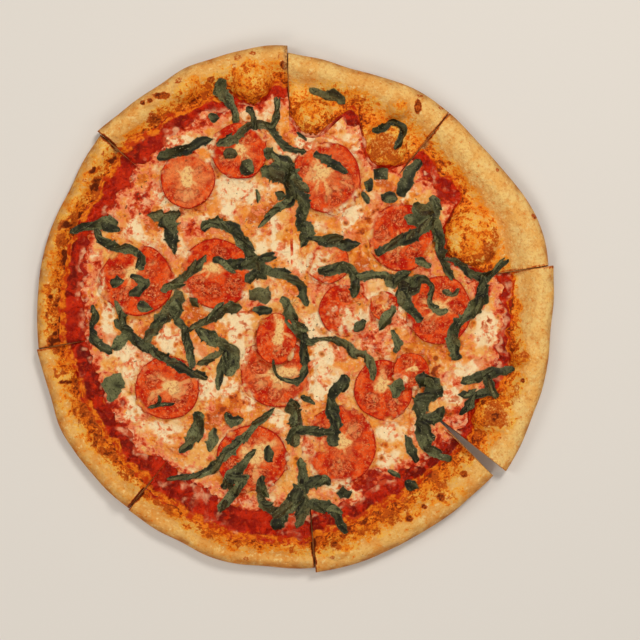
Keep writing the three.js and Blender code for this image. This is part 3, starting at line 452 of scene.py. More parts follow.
class Slice:
    """A slice's own frame: distances run out from its tip, and u from its first cut (0) to its second (1)."""

    def __init__(self, letter, values):
        self.letter = letter
        self.first_letter = LETTERS[(LETTERS.index(letter) + 1) % len(LETTERS)]
        self.cuts, self.radius, self.width, self.height, self.open, self.pale = values[:6]
        self.browned, self.milky, self.smeared = values[6:]
        self.flare = FLARE.get(letter, 0)
        self.wide = math.radians(self.cuts[1] - self.cuts[0])
        middle = math.radians(self.cuts[0] + self.cuts[1]) / 2
        back = CUT_GAP / 2 / math.sin(self.wide / 2)
        self.tip = (CUT_CENTRE[0] + back * math.cos(middle), CUT_CENTRE[1] + back * math.sin(middle))
        self.u = np.linspace(0, 1, SLICE_ROWS + 1)[:, None]
        self.reach = self.reach_at(self.u)
        self.foot = self.eased(self.foot_at(self.u))

    def angle(self, u, distance=0):
        swing = self.flare * u * smooth(distance, 110, 190)
        return np.radians(mix(self.cuts[0], self.cuts[1], u) + swing)

    def reach_at(self, u):
        """The distance from the tip to the outer edge"""
        angle = self.angle(u)
        radius = along(self.radius, u)
        inward = self.tip[0] * np.cos(angle) + self.tip[1] * np.sin(angle)
        tip_squared = self.tip[0] ** 2 + self.tip[1] ** 2
        edge = np.sqrt(inward**2 - tip_squared + radius**2) - inward
        return edge + 0.7 * bumps(angle * 9, edge / 200)

    def foot_at(self, u):
        """The distance at which the bread starts to rise: at the rim, or earlier at a bubble"""
        foot = self.reach_at(u) - along(self.width, u)
        way_x, way_y = np.cos(self.angle(u)), np.sin(self.angle(u))
        for x, y, rx, ry, _ in BUBBLES:
            start_x, start_y = (self.tip[0] - x) / rx, (self.tip[1] - y) / ry
            a = (way_x / rx) ** 2 + (way_y / ry) ** 2
            b = start_x * way_x / rx + start_y * way_y / ry
            c = start_x**2 + start_y**2 - 1
            inner = np.sqrt(np.maximum(b * b - a * c, 0))
            near = (-b - inner) / a
            foot = np.where((inner > 0) & (near > 0), np.minimum(foot, near), foot)
        return foot

    def eased(self, line):
        """The line without jumps: it recedes gently towards its low places."""
        across = self.u * self.wide * MIDDLE_OF_RIM
        return np.min(line.T + 1.3 * np.abs(across - across.T), axis=1)[:, None]

    def xy(self, u, distance):
        angle = self.angle(u, distance)
        return self.tip[0] + distance * np.cos(angle), self.tip[1] + distance * np.sin(angle)

    def into_gap(self, u, side):
        """The way from a cut into the gap beside it, as far as the crumb bulges"""
        across = float(self.angle(np.float64(u))) + side * math.pi / 2
        return CRUMB_BULGE * math.cos(across), CRUMB_BULGE * math.sin(across)

    def close_cuts(self, x, y, distance):
        """Moves the first and last row of a layer over the gap, where the layer has run together across the
        cut, and the tip to the middle of the pizza."""
        x[:, 0], y[:, 0] = mix(CUT_CENTRE[0], x[:, 0], 0.05), mix(CUT_CENTRE[1], y[:, 0], 0.05)
        for row, letter, side in ((0, self.first_letter, -1), (-1, self.letter, 1)):
            out = distance[row]
            closed = smooth(out, 0.5, 3) - smooth(out, GAP_START[letter] - 9, GAP_START[letter] - 3)
            for start, end in TORN.get(letter, []):
                closed = closed * (1 - between(out, start, end, 3))
            across = self.angle(self.u[row], out) + side * math.pi / 2
            x[row] += closed * (CUT_GAP / 2 + OVERLAP) * np.cos(across)
            y[row] += closed * (CUT_GAP / 2 + OVERLAP) * np.sin(across)

    def bread_top(self, u, distance):
        x, y = self.xy(u, distance)
        width = along(self.width, u)
        inside = self.reach_at(u) - distance
        rim = (along(self.height, u) - BASE_THICKNESS) * smooth(width - inside, 0, 0.62 * width)
        bubble = np.zeros(np.shape(x))
        for bx, by, rx, ry, height in BUBBLES:
            left = np.maximum(1 - ((x - bx) / rx) ** 2 - ((y - by) / ry) ** 2, 0)
            bubble = np.maximum(bubble, height * left**0.55)
        raised = np.cbrt(rim**3 + bubble**3)
        uneven = 0.55 * lumps(x, y, 13) + 0.35 * lumps(x, y, 6, 40)
        crags = 0.3 * lumps(x, y, 2.7, 0, 30) + 0.55 * patches(x, y, CHAR)
        top = BASE_THICKNESS + raised + (uneven + crags) * np.minimum(1, raised / 6)
        shoulder = 0.38 * width
        bend = np.clip(1 - inside / shoulder, 0, 1)
        return mix(SIDE_HEIGHT, top, np.sqrt(1 - bend**2))

    def sauce_edge(self):
        reach = self.angle(self.u) * 100
        ragged = 1.6 + 2.6 * bumps(reach / 8, 21) + 1.9 * bumps(reach / 3.2, 33) + 0.8 * bumps(reach / 1.4, 5)
        return self.foot + ragged

    def cheese_edge(self):
        ragged = 2.2 * bumps(self.foot * 0.02 + self.u * 7 + self.cuts[0], 3)
        reach = self.angle(self.u) * 100
        ragged = ragged + 2.6 * bumps(reach / 7, 1) + 1.8 * bumps(reach / 3, 7) + 0.8 * bumps(reach / 1.3, 11)
        free = self.reach - along(self.width, self.u) - along(self.open, self.u) - ragged
        return self.eased(np.minimum(free, self.foot - 2.5))

    def from_cut(self, distance):
        """The way from the nearer cut, as u times distance"""
        return np.minimum(self.u, 1 - self.u) * distance


# ---------------- shapes


class Shape:
    """The points, faces and paint zones of one piece. A zone value is between 0 and 1."""

    def __init__(self):
        self.points = []
        self.zones = []
        self.faces = []
        self.finishes = []
        self.count = 0

    def grid(self, x, y, z, zones=(0, 0, 0, 0)):
        """Adds a grid of points and returns their numbers."""
        x, y, z = np.broadcast_arrays(x, y, z)
        spread = [np.broadcast_to(zone, x.shape) for zone in zones]
        self.points.append(np.stack([x, y, z], -1).reshape(-1, 3))
        self.zones.append(np.stack(spread, -1).reshape(-1, 4))
        numbers = self.count + np.arange(x.size).reshape(x.shape)
        self.count += x.size
        return numbers

    def skin(self, numbers):
        a, b, c, d = numbers[:-1, :-1], numbers[1:, :-1], numbers[1:, 1:], numbers[:-1, 1:]
        self.add_faces(np.stack([a, b, c, d], -1).reshape(-1, 4).tolist())

    def add_faces(self, faces, finish=0):
        self.faces.extend(faces)
        self.finishes.extend([finish] * len(faces))

    def join(self, other, finish):
        """Adds all of another shape, with one finish."""
        faces = [[corner + self.count for corner in face] for face in other.faces]
        self.points += other.points
        self.zones += other.zones
        self.count += other.count
        self.add_faces(faces, finish)

    def all_points(self):
        return np.concatenate(self.points)


def layer(upper, lower, zones, side_zones, flat_columns=-2, levels=2, bulges=((0, 0), (0, 0))):
    """Closes a slice's layer. upper and lower are grids (x, y, z) with the same rows and columns that meet in
    their last column; the lower grid's first columns lie on one flat height and become a single face."""
    shape = Shape()
    top = shape.grid(*upper, zones)
    shape.skin(top)
    curved = shape.grid(*(part[:, flat_columns:-1] for part in lower), side_zones)
    shape.skin(np.concatenate([curved, top[:, -1:]], axis=1))
    outlines = []
    for row, bulge in ((0, bulges[0]), (-1, bulges[1])):
        flat = shape.grid(*(part[row, :flat_columns] for part in lower), side_zones)
        bottom = np.concatenate([flat, curved[row], top[row, -1:]])
        cut_face(shape, top[row], bottom, levels, bulge)
        outlines.append(np.concatenate([flat, curved[row, :1]]))
    ring = outlines[0].tolist() + curved[1:-1, 0].tolist() + outlines[1][::-1].tolist()
    shape.add_faces([ring])
    return shape


def cut_face(shape, top, bottom, levels, bulge):
    """The face at a cut, from the line of points on top to the one at the bottom, which end in the same
    point. The soft crumb bulges into the gap."""
    points = shape.all_points()
    high, low = points[top[:-1]], points[bottom[:-1]]
    share = np.linspace(0, 1, levels + 1)[1:-1, None, None]
    x, y, z = np.moveaxis(mix(low, high, share), -1, 0)
    swell = np.sin(np.pi * share[..., 0]) ** 0.5 * smooth(np.arange(len(high)), 3, 6)
    inner = shape.grid(x + swell * bulge[0], y + swell * bulge[1], z, (0, 0, 1, 0))
    columns = np.concatenate([bottom[None, :-1], inner, top[None, :-1]])
    shape.skin(columns)
    end = int(top[-1])
    shape.add_faces([[int(a), int(b), end] for a, b in zip(columns[:-1, -1], columns[1:, -1])])


# ---------------- bread, sauce and cheese


def crust_zones(part, u, distance, x, y):
    """Toast, which ends in smears of sauce, then char with painted shade of the gaps along the cuts, crumb
    and the browned underside of the bread's top
    """
    inside = part.reach_at(u) - distance
    pale = along(part.pale, u) + 2.2 * lumps(x, y, 12) + 1.2 * lumps(x, y, 4.5)
    depth = np.maximum(part.reach - part.foot - pale + 4, 8)
    toast = (0.8 - 0.16 * part.browned) * np.clip((inside - pale + 4) / depth, 0, 1) ** 0.75
    toast = toast + 0.14 * part.browned * (1 - toast)
    toast = mix(toast, 0.41 + 0.16 * lumps(x, y, 7), patches(x, y, TOASTED, 0.15))
    red = 1 - smooth(distance - part.foot + 1.6 * lumps(x, y, 5) + 0.9 * lumps(x, y, 2), -1, 3.5)
    red = red * (1 - patches(x, y, CLEAN))
    toast = np.maximum(toast, 0.72 * red + 0.28 * red * (inside > 8))
    mottles = smooth(lumps(x, y, 6.5, 0, 50) + 0.8 * lumps(x, y, 2.8), -0.1, 0.8)
    char_and_cut_shade = np.maximum(patches(x, y, CHAR, 0.3, True), part.browned * mottles * smooth(toast, 0.1, 0.4))
    arc = distance * part.wide
    # The bread is darker along each cut: toast with painted shade of the gap
    for from_cut, letter in ((u * arc, part.first_letter), ((1 - u) * arc, part.letter)):
        wide = 1.1 + 1.1 * smooth(bumps(distance / 6, part.cuts[0] + from_cut / 5), -0.6, 0.8)
        char_and_cut_shade = np.maximum(char_and_cut_shade, CUT_TOAST_AND_SHADE[letter] * (1 - smooth(from_cut, 0.4 * wide, wide)))
    edge_width = 4 + 6 * part.browned + 3 * lumps(x, y, 7)
    browned_edge = 1 - smooth(inside, -1, edge_width)
    return toast, char_and_cut_shade, crumb_at_cuts(part, u, distance), 0.9 * browned_edge


def crumb_at_cuts(part, u, distance):
    """The soft bread that shows along a cut where a slice leans away from its neighbour"""
    shown = np.zeros(np.shape(distance))
    for letter, start, end, side, width in LEANING:
        if letter == part.letter:
            from_cut = (u if side == 0 else 1 - u) * (distance * part.wide)
            here = between(distance, start, end, 4) * (1 - smooth(from_cut, width - 0.8, width + 0.4))
            shown = np.maximum(shown, here)
    return shown


def crust(part):
    """The bread: fine columns over the rim, few below the cheese, and a side that is undercut"""
    start = float(np.min(part.foot)) - 3
    flat = np.linspace(LAYER_START, start, 7)[None, :-1] + 0 * part.u
    t = np.linspace(1, 0, RIM_COLUMNS)[None, :]
    rim = part.reach - (0.35 * t**2 + 0.65 * t) * (part.reach - start)
    distance = np.concatenate([flat, rim], axis=1)
    x, y = part.xy(part.u, distance)
    z = part.bread_top(part.u, distance)
    flat_columns = distance.shape[1] - SIDE_BENDS
    up = np.linspace(0, 1, SIDE_BENDS)
    low_z = np.concatenate([np.zeros(flat_columns), SIDE_HEIGHT * up**1.3])
    share = np.linspace(0, 1, flat_columns + 1)[:-1]
    below = share * (part.reach - UNDERCUT) + LAYER_START
    low_distance = np.concatenate([below, part.reach - UNDERCUT * (1 - up) ** 1.6], axis=1)
    low_x, low_y = part.xy(part.u, low_distance)
    zones = crust_zones(part, part.u, distance, x, y)
    bulges = [part.into_gap(row, side) for row, side in ((0, -1), (1, 1))]
    return layer((x, y, z), (low_x, low_y, low_z + 0 * low_x), zones, (0, 0, 0, 1), flat_columns, 9, bulges)


def thin_layer(part, upper, edge, bottom, zones, side_zones):
    """A layer over a flat underside as wide as the layer is"""
    low = mix(LAYER_START, edge, np.linspace(0, 1, upper[0].shape[1])[None, :])
    low_x, low_y = part.xy(part.u, low)
    part.close_cuts(low_x, low_y, low)
    return layer(upper, (low_x, low_y, bottom + 0 * low_x), zones, side_zones)


def sauce(part):
    edge = part.sauce_edge()
    covered = part.cheese_edge() + 0.6
    start = covered - 7
    flat = np.linspace(0, 1, 6)[None, :-1] * (start - LAYER_START) + LAYER_START
    band = mix(start, edge, np.linspace(0, 1, SAUCE_COLUMNS)[None, :] ** 0.9)
    distance = np.concatenate([flat, band], axis=1)
    x, y = part.xy(part.u, distance)
    share = np.clip((distance - covered) / (edge - covered), 0, 1)
    swell = np.sin(np.pi * share**0.8)
    clumps = 0.5 * lumps(x, y, 5) + 0.2 * lumps(x, y, 2.2, 0, 4)
    z = SAUCE_TOP + SAUCE_MOUND * swell * (0.8 + 0.4 * lumps(x, y, 7)) + clumps * swell
    on_bread = part.bread_top(part.u, distance) + 0.3 * (1 - share)
    ending = smooth(share, 0.75, 1)
    z = np.maximum(mix(z, np.maximum(on_bread - 0.2, SAUCE_BOTTOM + 0.1), ending), on_bread)
    part.close_cuts(x, y, distance)
    dark_and_cut_shade = smooth(lumps(x, y, 16, 0, 60) + 0.4 * lumps(x, y, 6), -0.4, 0.8)
    smear = smooth(share, 0.6 - 0.45 * part.smeared, 1 - 0.3 * part.smeared)
    islands = smooth(lumps(x, y, 11, 0, 3) + 0.6 * lumps(x, y, 3.5), -0.5, 0.5)
    melted = (1 - smooth(share, 0.02, 0.45 + 0.5 * part.milky)) * islands
    cheesy = np.maximum(melted, part.milky * islands * (1 - ending))
    cheesy = np.maximum(cheesy, patches(x, y, CLEAN))
    # Darker along the cuts: painted shade of the gap
    dark_and_cut_shade = np.maximum(dark_and_cut_shade, 1 - smooth(part.from_cut(distance), 0.3, 2.4))
    return thin_layer(part, (x, y, z), edge, SAUCE_BOTTOM, (dark_and_cut_shade, smear, cheesy, 0), (0, 0, 0, 0))


def cheese(part):
    edge = part.cheese_edge()
    share = np.linspace(0, 1, CHEESE_COLUMNS)[None, :] ** 0.92
    distance = LAYER_START + share * (edge - LAYER_START)
    x, y = part.xy(part.u, distance)
    at_edge = (0.95 - 0.35 * part.milky) * smooth(distance, edge - 11 - 5 * lumps(x, y, 9), edge + 2)
    pink = np.maximum(patches(x, y, PINK) * (1 - 0.35 * part.milky), at_edge)
    speckled = patches(x, y, SPECKLED)
    oily = patches(x, y, OILY)
    thick = patches(x, y, THICK, 0.4)
    pink = pink * (1 - thick)
    full = cheese_height(x, y) + 0.38 * lumps(x, y, 4.2) + 0.16 * lumps(x, y, 1.9, 0, 3)
    full = full - 0.7 * pink + 0.25 * speckled * lumps(x, y, 2.4) + 2.1 * crept(x, y)
    z = mix(CHEESE_BOTTOM + 0.35, full, smooth(1 - share, -0.02, 0.11) ** 0.8)
    scored = (1 - smooth(part.from_cut(distance), 0.1, 0.7)) * patches(x, y, SCORED)
    scored = np.minimum(scored, 1) * smooth(lumps(x, y, 3), -0.7, 0.3)
    z = z - 0.5 * scored
    pink = np.maximum(pink, 0.7 * scored)
    speckled = np.maximum(speckled, scored)
    oily = np.maximum(oily, scored)
    part.close_cuts(x, y, distance)
    return thin_layer(part, (x, y, z), edge, SAUCE_TOP, (pink, oily, speckled, thick), (1, 0, 0, 0))


def cheese_height(x, y):
    relief = 0.7 * lumps(x, y, 19) + 0.45 * lumps(x, y, 8, 17, 5)
    return CHEESE_BOTTOM + CHEESE_THICKNESS + CHEESE_RELIEF * relief


def crept(x, y):
    """How far the melted cheese has crept up the sides of the tomato slices, from 0 to 1"""
    lift = 0 * x
    for (at_x, at_y), (rx, ry), slope, *_ in TOMATOES:
        if slope == LEVEL:
            away = (np.hypot((x - at_x) / rx, (y - at_y) / ry) - 1) * rx + 0.7 * lumps(x, y, 3)
            lift = np.maximum(lift, 1 - smooth(np.maximum(away, -2 * away), 0.3, 6))
    return lift


# ---------------- tomato


def tomato(number, ground, at, radii, slope, chambers, core, tone, covers):
    """A slice of tomato: skin, wall, sunken seed chambers and a pale core"""
    shape = Shape()
    turn = np.linspace(0, 2 * np.pi, TOMATO_ROWS + 1)[:-1, None]
    outline = 1 + 0.035 * bumps(2 * np.cos(turn) + number * 5, 2 * np.sin(turn))
    outline = outline + 0.012 * bumps(turn * 5, number)
    wall_shares = [0.9, 0.93, 0.955, 0.975, 0.99, 1, 1, 0.985]
    wall_drops = [0, 0.02, 0.06, 0.15, 0.35, 0.9, 2.0, 2.8]
    share = np.concatenate([np.linspace(0.02, 0.86, 26), wall_shares])[None, :]
    drop = np.concatenate([np.zeros(26), wall_drops])[None, :]
    x = at[0] + outline * share * radii[0] * np.cos(turn)
    y = at[1] + outline * share * radii[1] * np.sin(turn)
    lean = slope[0] * (x - at[0]) + slope[1] * (y - at[1])
    _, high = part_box("tomato_%02d" % (number + 1))
    middle = high.z / MM - TOMATO_THICKNESS - np.max(lean)
    gel, pale = tomato_inside(number, turn, share, chambers, core, tone)
    wall = smooth(share, 0.9, 0.99) + 0 * x
    fibres = 0.12 * bumps(turn * 16 + number, share * 3) * (1 - wall)
    top = TOMATO_THICKNESS - drop - 0.75 * gel + 0.25 * pale + fibres + 0.25 * lumps(x, y, 7)
    film = tomato_cheese(number, share, x, y, at, radii, covers)
    spread = 1 + film * np.clip(drop / 2.8, 0, 1) * 0.14
    x, y = at[0] + (x - at[0]) * spread, at[1] + (y - at[1]) * spread
    z = middle + lean + top + 0.5 * film + 0.4 * film * lumps(x, y, 5) - 2.4 * film * smooth(share, 0.66, 1)
    wet = gel * (1 - film)
    numbers = shape.grid(x, y, z, (wall, wet, pale, film))
    floor = ground.heights(x[:, -1:], y[:, -1:]) - 0.25
    foot = shape.grid(x[:, -1:], y[:, -1:], np.minimum(floor, z[:, -1:] - 0.2), (1, 0, 0, 0))
    closed = np.concatenate([numbers, foot], axis=1)
    shape.skin(np.concatenate([closed, closed[:1]]))
    shape.add_faces([numbers[:, 0].tolist(), foot[::-1, 0].tolist()])
    seeds(shape, number, turn, (x, y, z), wet)
    return shape


def tomato_inside(number, turn, share, chambers, core, tone):
    """Seed chambers and pale flesh, by direction and share of the radius"""
    px, py = share * np.cos(turn), share * np.sin(turn)
    rough = 0.16 * bumps(px * 4 + number, py * 4) + 0.12 * bumps(px * 11, py * 11 + number)
    gel = 0 * px
    for direction, half_width in chambers:
        aside = ((np.degrees(turn) - direction + 180) % 360 - 180) / half_width
        away = np.hypot(aside, (share - 0.55) / 0.27) + 2 * rough
        gel = np.maximum(gel, 1 - smooth(away, 0.45, 1.3))
    core_x, core_y, rx, ry = core
    away = np.hypot((px - core_x) / rx, (py - core_y) / ry) + 2 * rough
    direction = np.arctan2(py - core_y, px - core_x)
    spokes = 0.7 * smooth(bumps(direction * 3.2 + number, 5), -0.1, 0.6) * (1 - smooth(away, 1, 2.4))
    pale = np.maximum(1 - smooth(away, 0.35, 1.25), spokes)
    streaks = 0.4 * smooth(bumps(direction * 9, away * 1.5 + number), 0.1, 0.9) * gel
    flesh = tone * (1.15 - 0.8 * share + 2 * rough) + 0.12 * bumps(direction * 14, away * 2)
    return gel, np.clip(np.maximum(pale, flesh) + streaks, 0, 1)


def tomato_cheese(number, share, x, y, at, radii, covers):
    """Cheese that has run over the slice, and over its edge here and there"""
    film = smooth(share, 0.84, 0.95) * smooth(lumps(x, y, 11, number) + 0.4 * lumps(x, y, 3), 0.15, 0.55)
    for side_x, side_y, size in covers:
        px, py = (x - at[0]) / radii[0] - side_x, (y - at[1]) / radii[1] - side_y
        away = np.hypot(px, py) + 0.2 * lumps(x, y, 4) + 0.12 * lumps(x, y, 1.7)
        film = np.maximum(film, 1 - smooth(away, size - 0.15, size + 0.1))
    return film


def seeds(shape, number, turn, surface, gel):
    """Flat pips in the chambers, where the gel is deep enough"""
    rng = np.random.default_rng(number + 50)
    x, y, z = surface
    deep = np.argwhere(gel > 0.6)
    rng.shuffle(deep)
    placed = []
    for i, j in deep:
        spot = np.array([x[i, j], y[i, j]])
        if all(np.hypot(*(spot - other)) > rng.uniform(1.8, 5) for other in placed):
            placed.append(spot)
            pip(shape, spot, z[i, j] - 0.12, float(turn[i, 0]) + rng.normal(0, 0.4), rng.uniform(0.6, 1.0))
        if len(placed) >= 6 + number % 5:
            break


def pip(shape, spot, z, direction, size):
    """A seed up to 2.6 mm long, pointing along a direction"""
    around = np.linspace(0, 2 * np.pi, 9)[None, :-1]
    width = np.array([0.15, 0.7, 1.0, 0.7, 0.15])[:, None]
    height = np.array([0.42, 0.28, 0, -0.28, -0.42])[:, None]
    px = 1.3 * size * width * np.cos(around)
    py = 0.8 * size * width * np.sin(around) * (1 - 0.35 * np.cos(around))
    x = spot[0] + px * math.cos(direction) - py * math.sin(direction)
    y = spot[1] + px * math.sin(direction) + py * math.cos(direction)
    numbers = shape.grid(x, y, z + height, (0, 1, 0.5, 0))
    shape.skin(np.concatenate([numbers, numbers[:, :1]], axis=1))
    shape.add_faces([numbers[0].tolist(), numbers[-1][::-1].tolist()])


# ---------------- basil


def smooth_line(route):
    """The smooth curve through a route's points: even lengths, the points there and the way it runs there"""
    knots = np.array(route, float)
    knots = np.concatenate([[2 * knots[0] - knots[1]], knots, [2 * knots[-1] - knots[-2]]])
    dense = []
    for p0, p1, p2, p3 in zip(knots, knots[1:], knots[2:], knots[3:]):
        gaps = [max(np.linalg.norm(b - a) ** 0.5, 1e-4) for a, b in ((p0, p1), (p1, p2), (p2, p3))]
        t0 = (p1 - p0) / gaps[0] - (p2 - p0) / (gaps[0] + gaps[1]) + (p2 - p1) / gaps[1]
        t1 = (p2 - p1) / gaps[1] - (p3 - p1) / (gaps[1] + gaps[2]) + (p3 - p2) / gaps[2]
        t0, t1 = t0 * gaps[1], t1 * gaps[1]
        w = np.linspace(0, 1, 25)[:-1, None]
        cubic = (3 * (p2 - p1) - 2 * t0 - t1) * w**2 + (2 * (p1 - p2) + t0 + t1) * w**3
        dense.append(p1 + t0 * w + cubic)
    dense = np.concatenate(dense + [knots[-2:-1]])
    length = np.concatenate([[0], np.cumsum(np.hypot(*np.diff(dense[:, :2], axis=0).T))])
    count = max(4, int(round(length[-1] / SHRED_STEP)))
    even = np.linspace(0, length[-1], count + 1)
    line = np.stack([np.interp(even, length, dense[:, k]) for k in range(3)], axis=1)
    ways = np.gradient(line[:, :2], axis=0)
    return even, line, ways / np.hypot(ways[:, 0], ways[:, 1])[:, None]


def zigzag(x, seed):
    """Straight lines between random heights from -1 to 1, one unit apart"""
    whole = np.floor(x)
    return 2 * mix(lattice(whole, seed + 0.5), lattice(whole + 1, seed + 0.5), x - whole) - 1


def side_shreds(route, seed):
    """Narrower ribbons that lie on a wide one and part from it at a small angle"""
    length, line, ways = smooth_line(route)
    found = []
    for index in range(int(length[-1] // 15)):
        draw = lattice(index + 0.3, seed + np.arange(4.0))
        start = int(15 * index + 9 * draw[0])
        end = min(start + 9 + int(9 * draw[1]), len(line) - 1)
        side = 1 if draw[2] > 0.5 else -1
        picked = np.linspace(start, end, 4).astype(int)
        aside = side * np.array([-0.15, 0.1, 0.3, 0.55]) * line[picked, 2] * (0.6 + 0.8 * draw[3])
        x = line[picked, 0] - aside * ways[picked, 1]
        y = line[picked, 1] + aside * ways[picked, 0]
        wide = 0.62 * line[picked, 2] * np.array([0.8, 1, 1, 0.5])
        found.append(list(zip(x.tolist(), y.tolist(), wide.tolist())))
    return found


def half_widths(length, widths, v, seed):
    """How far a ribbon reaches to each side: nearly straight edges, a few teeth and ends cut at a slant"""
    half = np.zeros((len(length), v.size))
    for side in (-1, 1):
        slants = 0.8 + 4.2 * lattice(seed, side * 4.0 + np.arange(2)) ** 2
        begun, left = (length + 0.35) / slants[0], (length[-1] + 0.35 - length) / slants[1]
        ends = np.clip(begun, 0, 1) * np.clip(left, 0, 1)
        edge = 0.95 + 0.38 * zigzag(length / 4.2, seed + 5 * side)
        edge = edge + 0.1 * zigzag(length / 1.2, seed + 9 * side)
        tooth = 0.7 * np.maximum(zigzag(length / 1.6, seed + 13 * side) - 0.6, 0) / 0.4
        half[:, v[0] * side > 0] = (widths / 2 * ends * (edge + tooth))[:, None]
    return half


def settled(under):
    """The heights of a ribbon that rests on the high places below it and hangs between them"""
    lying = under.copy()
    for _ in range(SETTLING_ROUNDS):
        lying[1:-1] = np.maximum(under[1:-1], (lying[:-2] + lying[1:-1] + lying[2:]) / 3)
        lying[:, 1:-1] = np.maximum(under[:, 1:-1], (lying[:, :-2] + lying[:, 1:-1] + lying[:, 2:]) / 3)
    return lying


def shred(route, seed, ground):
    """A wilted ribbon of leaf with a fold along it, lying on the ground. v runs across it, from -1 to 1."""
    length, line, ways = smooth_line(route)
    crease = 0.55 * zigzag(length / 7, seed * 1.7 + 3)[:, None]
    v = np.array([-1, -0.8, -0.45, -0.06, 0.06, 0.45, 0.8, 1])[None, :]
    half = half_widths(length, line[:, 2], v, seed)
    offset = half * (v + crease * (1 - np.abs(v)))
    x = line[:, 0:1] - offset * ways[:, 1:2]
    y = line[:, 1:2] + offset * ways[:, 0:1]
    length = length[:, None]
    fold = (0.5 + 0.9 * zigzag(length / 6, seed * 2.3)) * np.minimum(half.max(axis=1, keepdims=True), 4) / 3.2
    roof = np.where(fold > 0, fold * (1 - np.abs(v)), -0.8 * fold * np.abs(v))
    lifted = 0.9 * np.maximum(zigzag(length / 4.3, seed + 21), 0) * np.maximum(v - 0.45, 0)
    lifted = lifted + 0.9 * np.maximum(zigzag(length / 3.7, seed + 27), 0) * np.maximum(-v - 0.45, 0)
    crinkle = 0.16 * zigzag(length / 1.3 + 0.4 * v, seed + 33) * np.abs(v)
    low = settled(ground.heights(x, y) + 0.08) + roof + lifted + np.maximum(crinkle, -0.05)
    thin = BASIL_THICKNESS * (0.6 + 0.4 * (1 - v**4))
    # One side of the fold is painted lighter than the other: painted light and shade on the leaf's two faces
    sides = np.where(v < 0, zigzag(length / 9, seed + 41), zigzag(length / 9, seed + 47))
    painted_lit_side = smooth(sides + 0.5 * bumps(length / 3, v * 2 + seed), -0.5, 0.9)
    vein = np.clip(1 - np.abs(v) * 8, 0, 1) * (zigzag(length / 5, seed + 51) > -0.2)
    # The second zone is a painted highlight along both edges, together with the pale middle vein
    zones = (painted_lit_side, np.maximum(np.abs(v) ** 12 * 0.8, vein), lattice(seed, 3.0), 0)
    shape = Shape()
    top = shape.grid(x, y, low + thin, zones)
    bottom = shape.grid(x, y, low, zones)
    shape.skin(top)
    shape.skin(bottom[::-1])
    for rim in (np.s_[0], np.s_[-1], np.s_[:, 0], np.s_[:, -1]):
        shape.skin(np.stack([top[rim], bottom[rim]]))
    return shape


# ---------------- materials


def color(red, green, blue):
    """A colour as it is seen on a screen, 0 to 255, becomes linear."""
    values = [c / 255 for c in (red, green, blue)]
    return [c / 12.92 if c <= 0.04045 else ((c + 0.055) / 1.055) ** 2.4 for c in values] + [1]


class Paint:
    """Builds a material out of nodes, steered by the zones painted on the mesh. A colour is a tuple that
    color() takes, or comes from a node."""

    def __init__(self, name):
        self.material = bpy.data.materials.new(name)
        self.material.use_nodes = True
        self.shader = self.material.node_tree.nodes["Principled BSDF"]
        self.place = self.node("TexCoord").outputs["Object"]
        zones = self.node("Attribute", attribute_name="zones").outputs
        parts = self.node("SeparateColor", {"Color": zones["Color"]}).outputs
        self.zones = [parts["Red"], parts["Green"], parts["Blue"], zones["Alpha"]]

    def node(self, kind, inputs=None, **settings):
        node = self.material.node_tree.nodes.new("ShaderNode" + kind)
        for name, value in settings.items():
            setattr(node, name, value)
        self.fill(node, inputs or {})
        return node

    def fill(self, node, inputs):
        """Gives each input of a node a number, a colour or what comes out of another node."""
        for name, value in inputs.items():
            if isinstance(value, bpy.types.NodeSocket):
                self.material.node_tree.links.new(value, node.inputs[name])
            else:
                node.inputs[name].default_value = color(*value) if isinstance(value, tuple) else value

    def noise(self, size, detail=2.0, roughness=0.5, distortion=0.0):
        """Noise with features of a size in millimetres, between 0 and 1"""
        inputs = {"Vector": self.place, "Scale": 1 / (size * MM), "Detail": detail, "Roughness": roughness}
        return self.node("TexNoise", {**inputs, "Distortion": distortion}).outputs["Fac"]

    def cells(self, size):
        """Distance to the nearest of scattered points, with a size in millimetres"""
        return self.node("TexVoronoi", {"Vector": self.place, "Scale": 1 / (size * MM)}).outputs["Distance"]

    def math(self, operation, *values):
        return self.node("Math", dict(enumerate(values)), operation=operation).outputs[0]

    def times(self, a, b):
        return self.math("MULTIPLY", a, b)

    def add(self, base, extra, share):
        """base and a share of extra"""
        return self.math("MULTIPLY_ADD", extra, share, base)

    def ridge(self, *noise):
        """How far a noise is from its middle value, so that low values draw lines"""
        return self.math("ABSOLUTE", self.add(-0.5, self.noise(*noise), 1.0))

    def step(self, value, low, high, start=0.0, end=1.0):
        """start below low, end above high, smooth between"""
        inputs = {"Value": value, "From Min": low, "From Max": high, "To Min": start, "To Max": end}
        return self.node("MapRange", inputs, interpolation_type="SMOOTHSTEP").outputs["Result"]

    def mix(self, share, a, b):
        return self.node("Mix", {0: share, 6: a, 7: b}, data_type="RGBA").outputs[2]

    def coats(self, base, *coats):
        """Colours over one another. A coat is its strength and a colour, or what step takes and a colour."""
        for share, *limits, tint in coats:
            if limits:
                share = self.step(share, *limits)
            base = self.mix(share, base, tint)
        return base

    def surface(self, tint, roughness, shine, relief, depth):
        """Finishes the material with its colour and shine and a relief of a depth in millimetres."""
        bump = self.node("Bump", {"Strength": 1, "Distance": depth * MM, "Height": relief}).outputs["Normal"]
        inputs = {"Base Color": tint, "Roughness": roughness, "Specular IOR Level": shine, "Normal": bump}
        self.fill(self.shader, inputs)
        return self.material


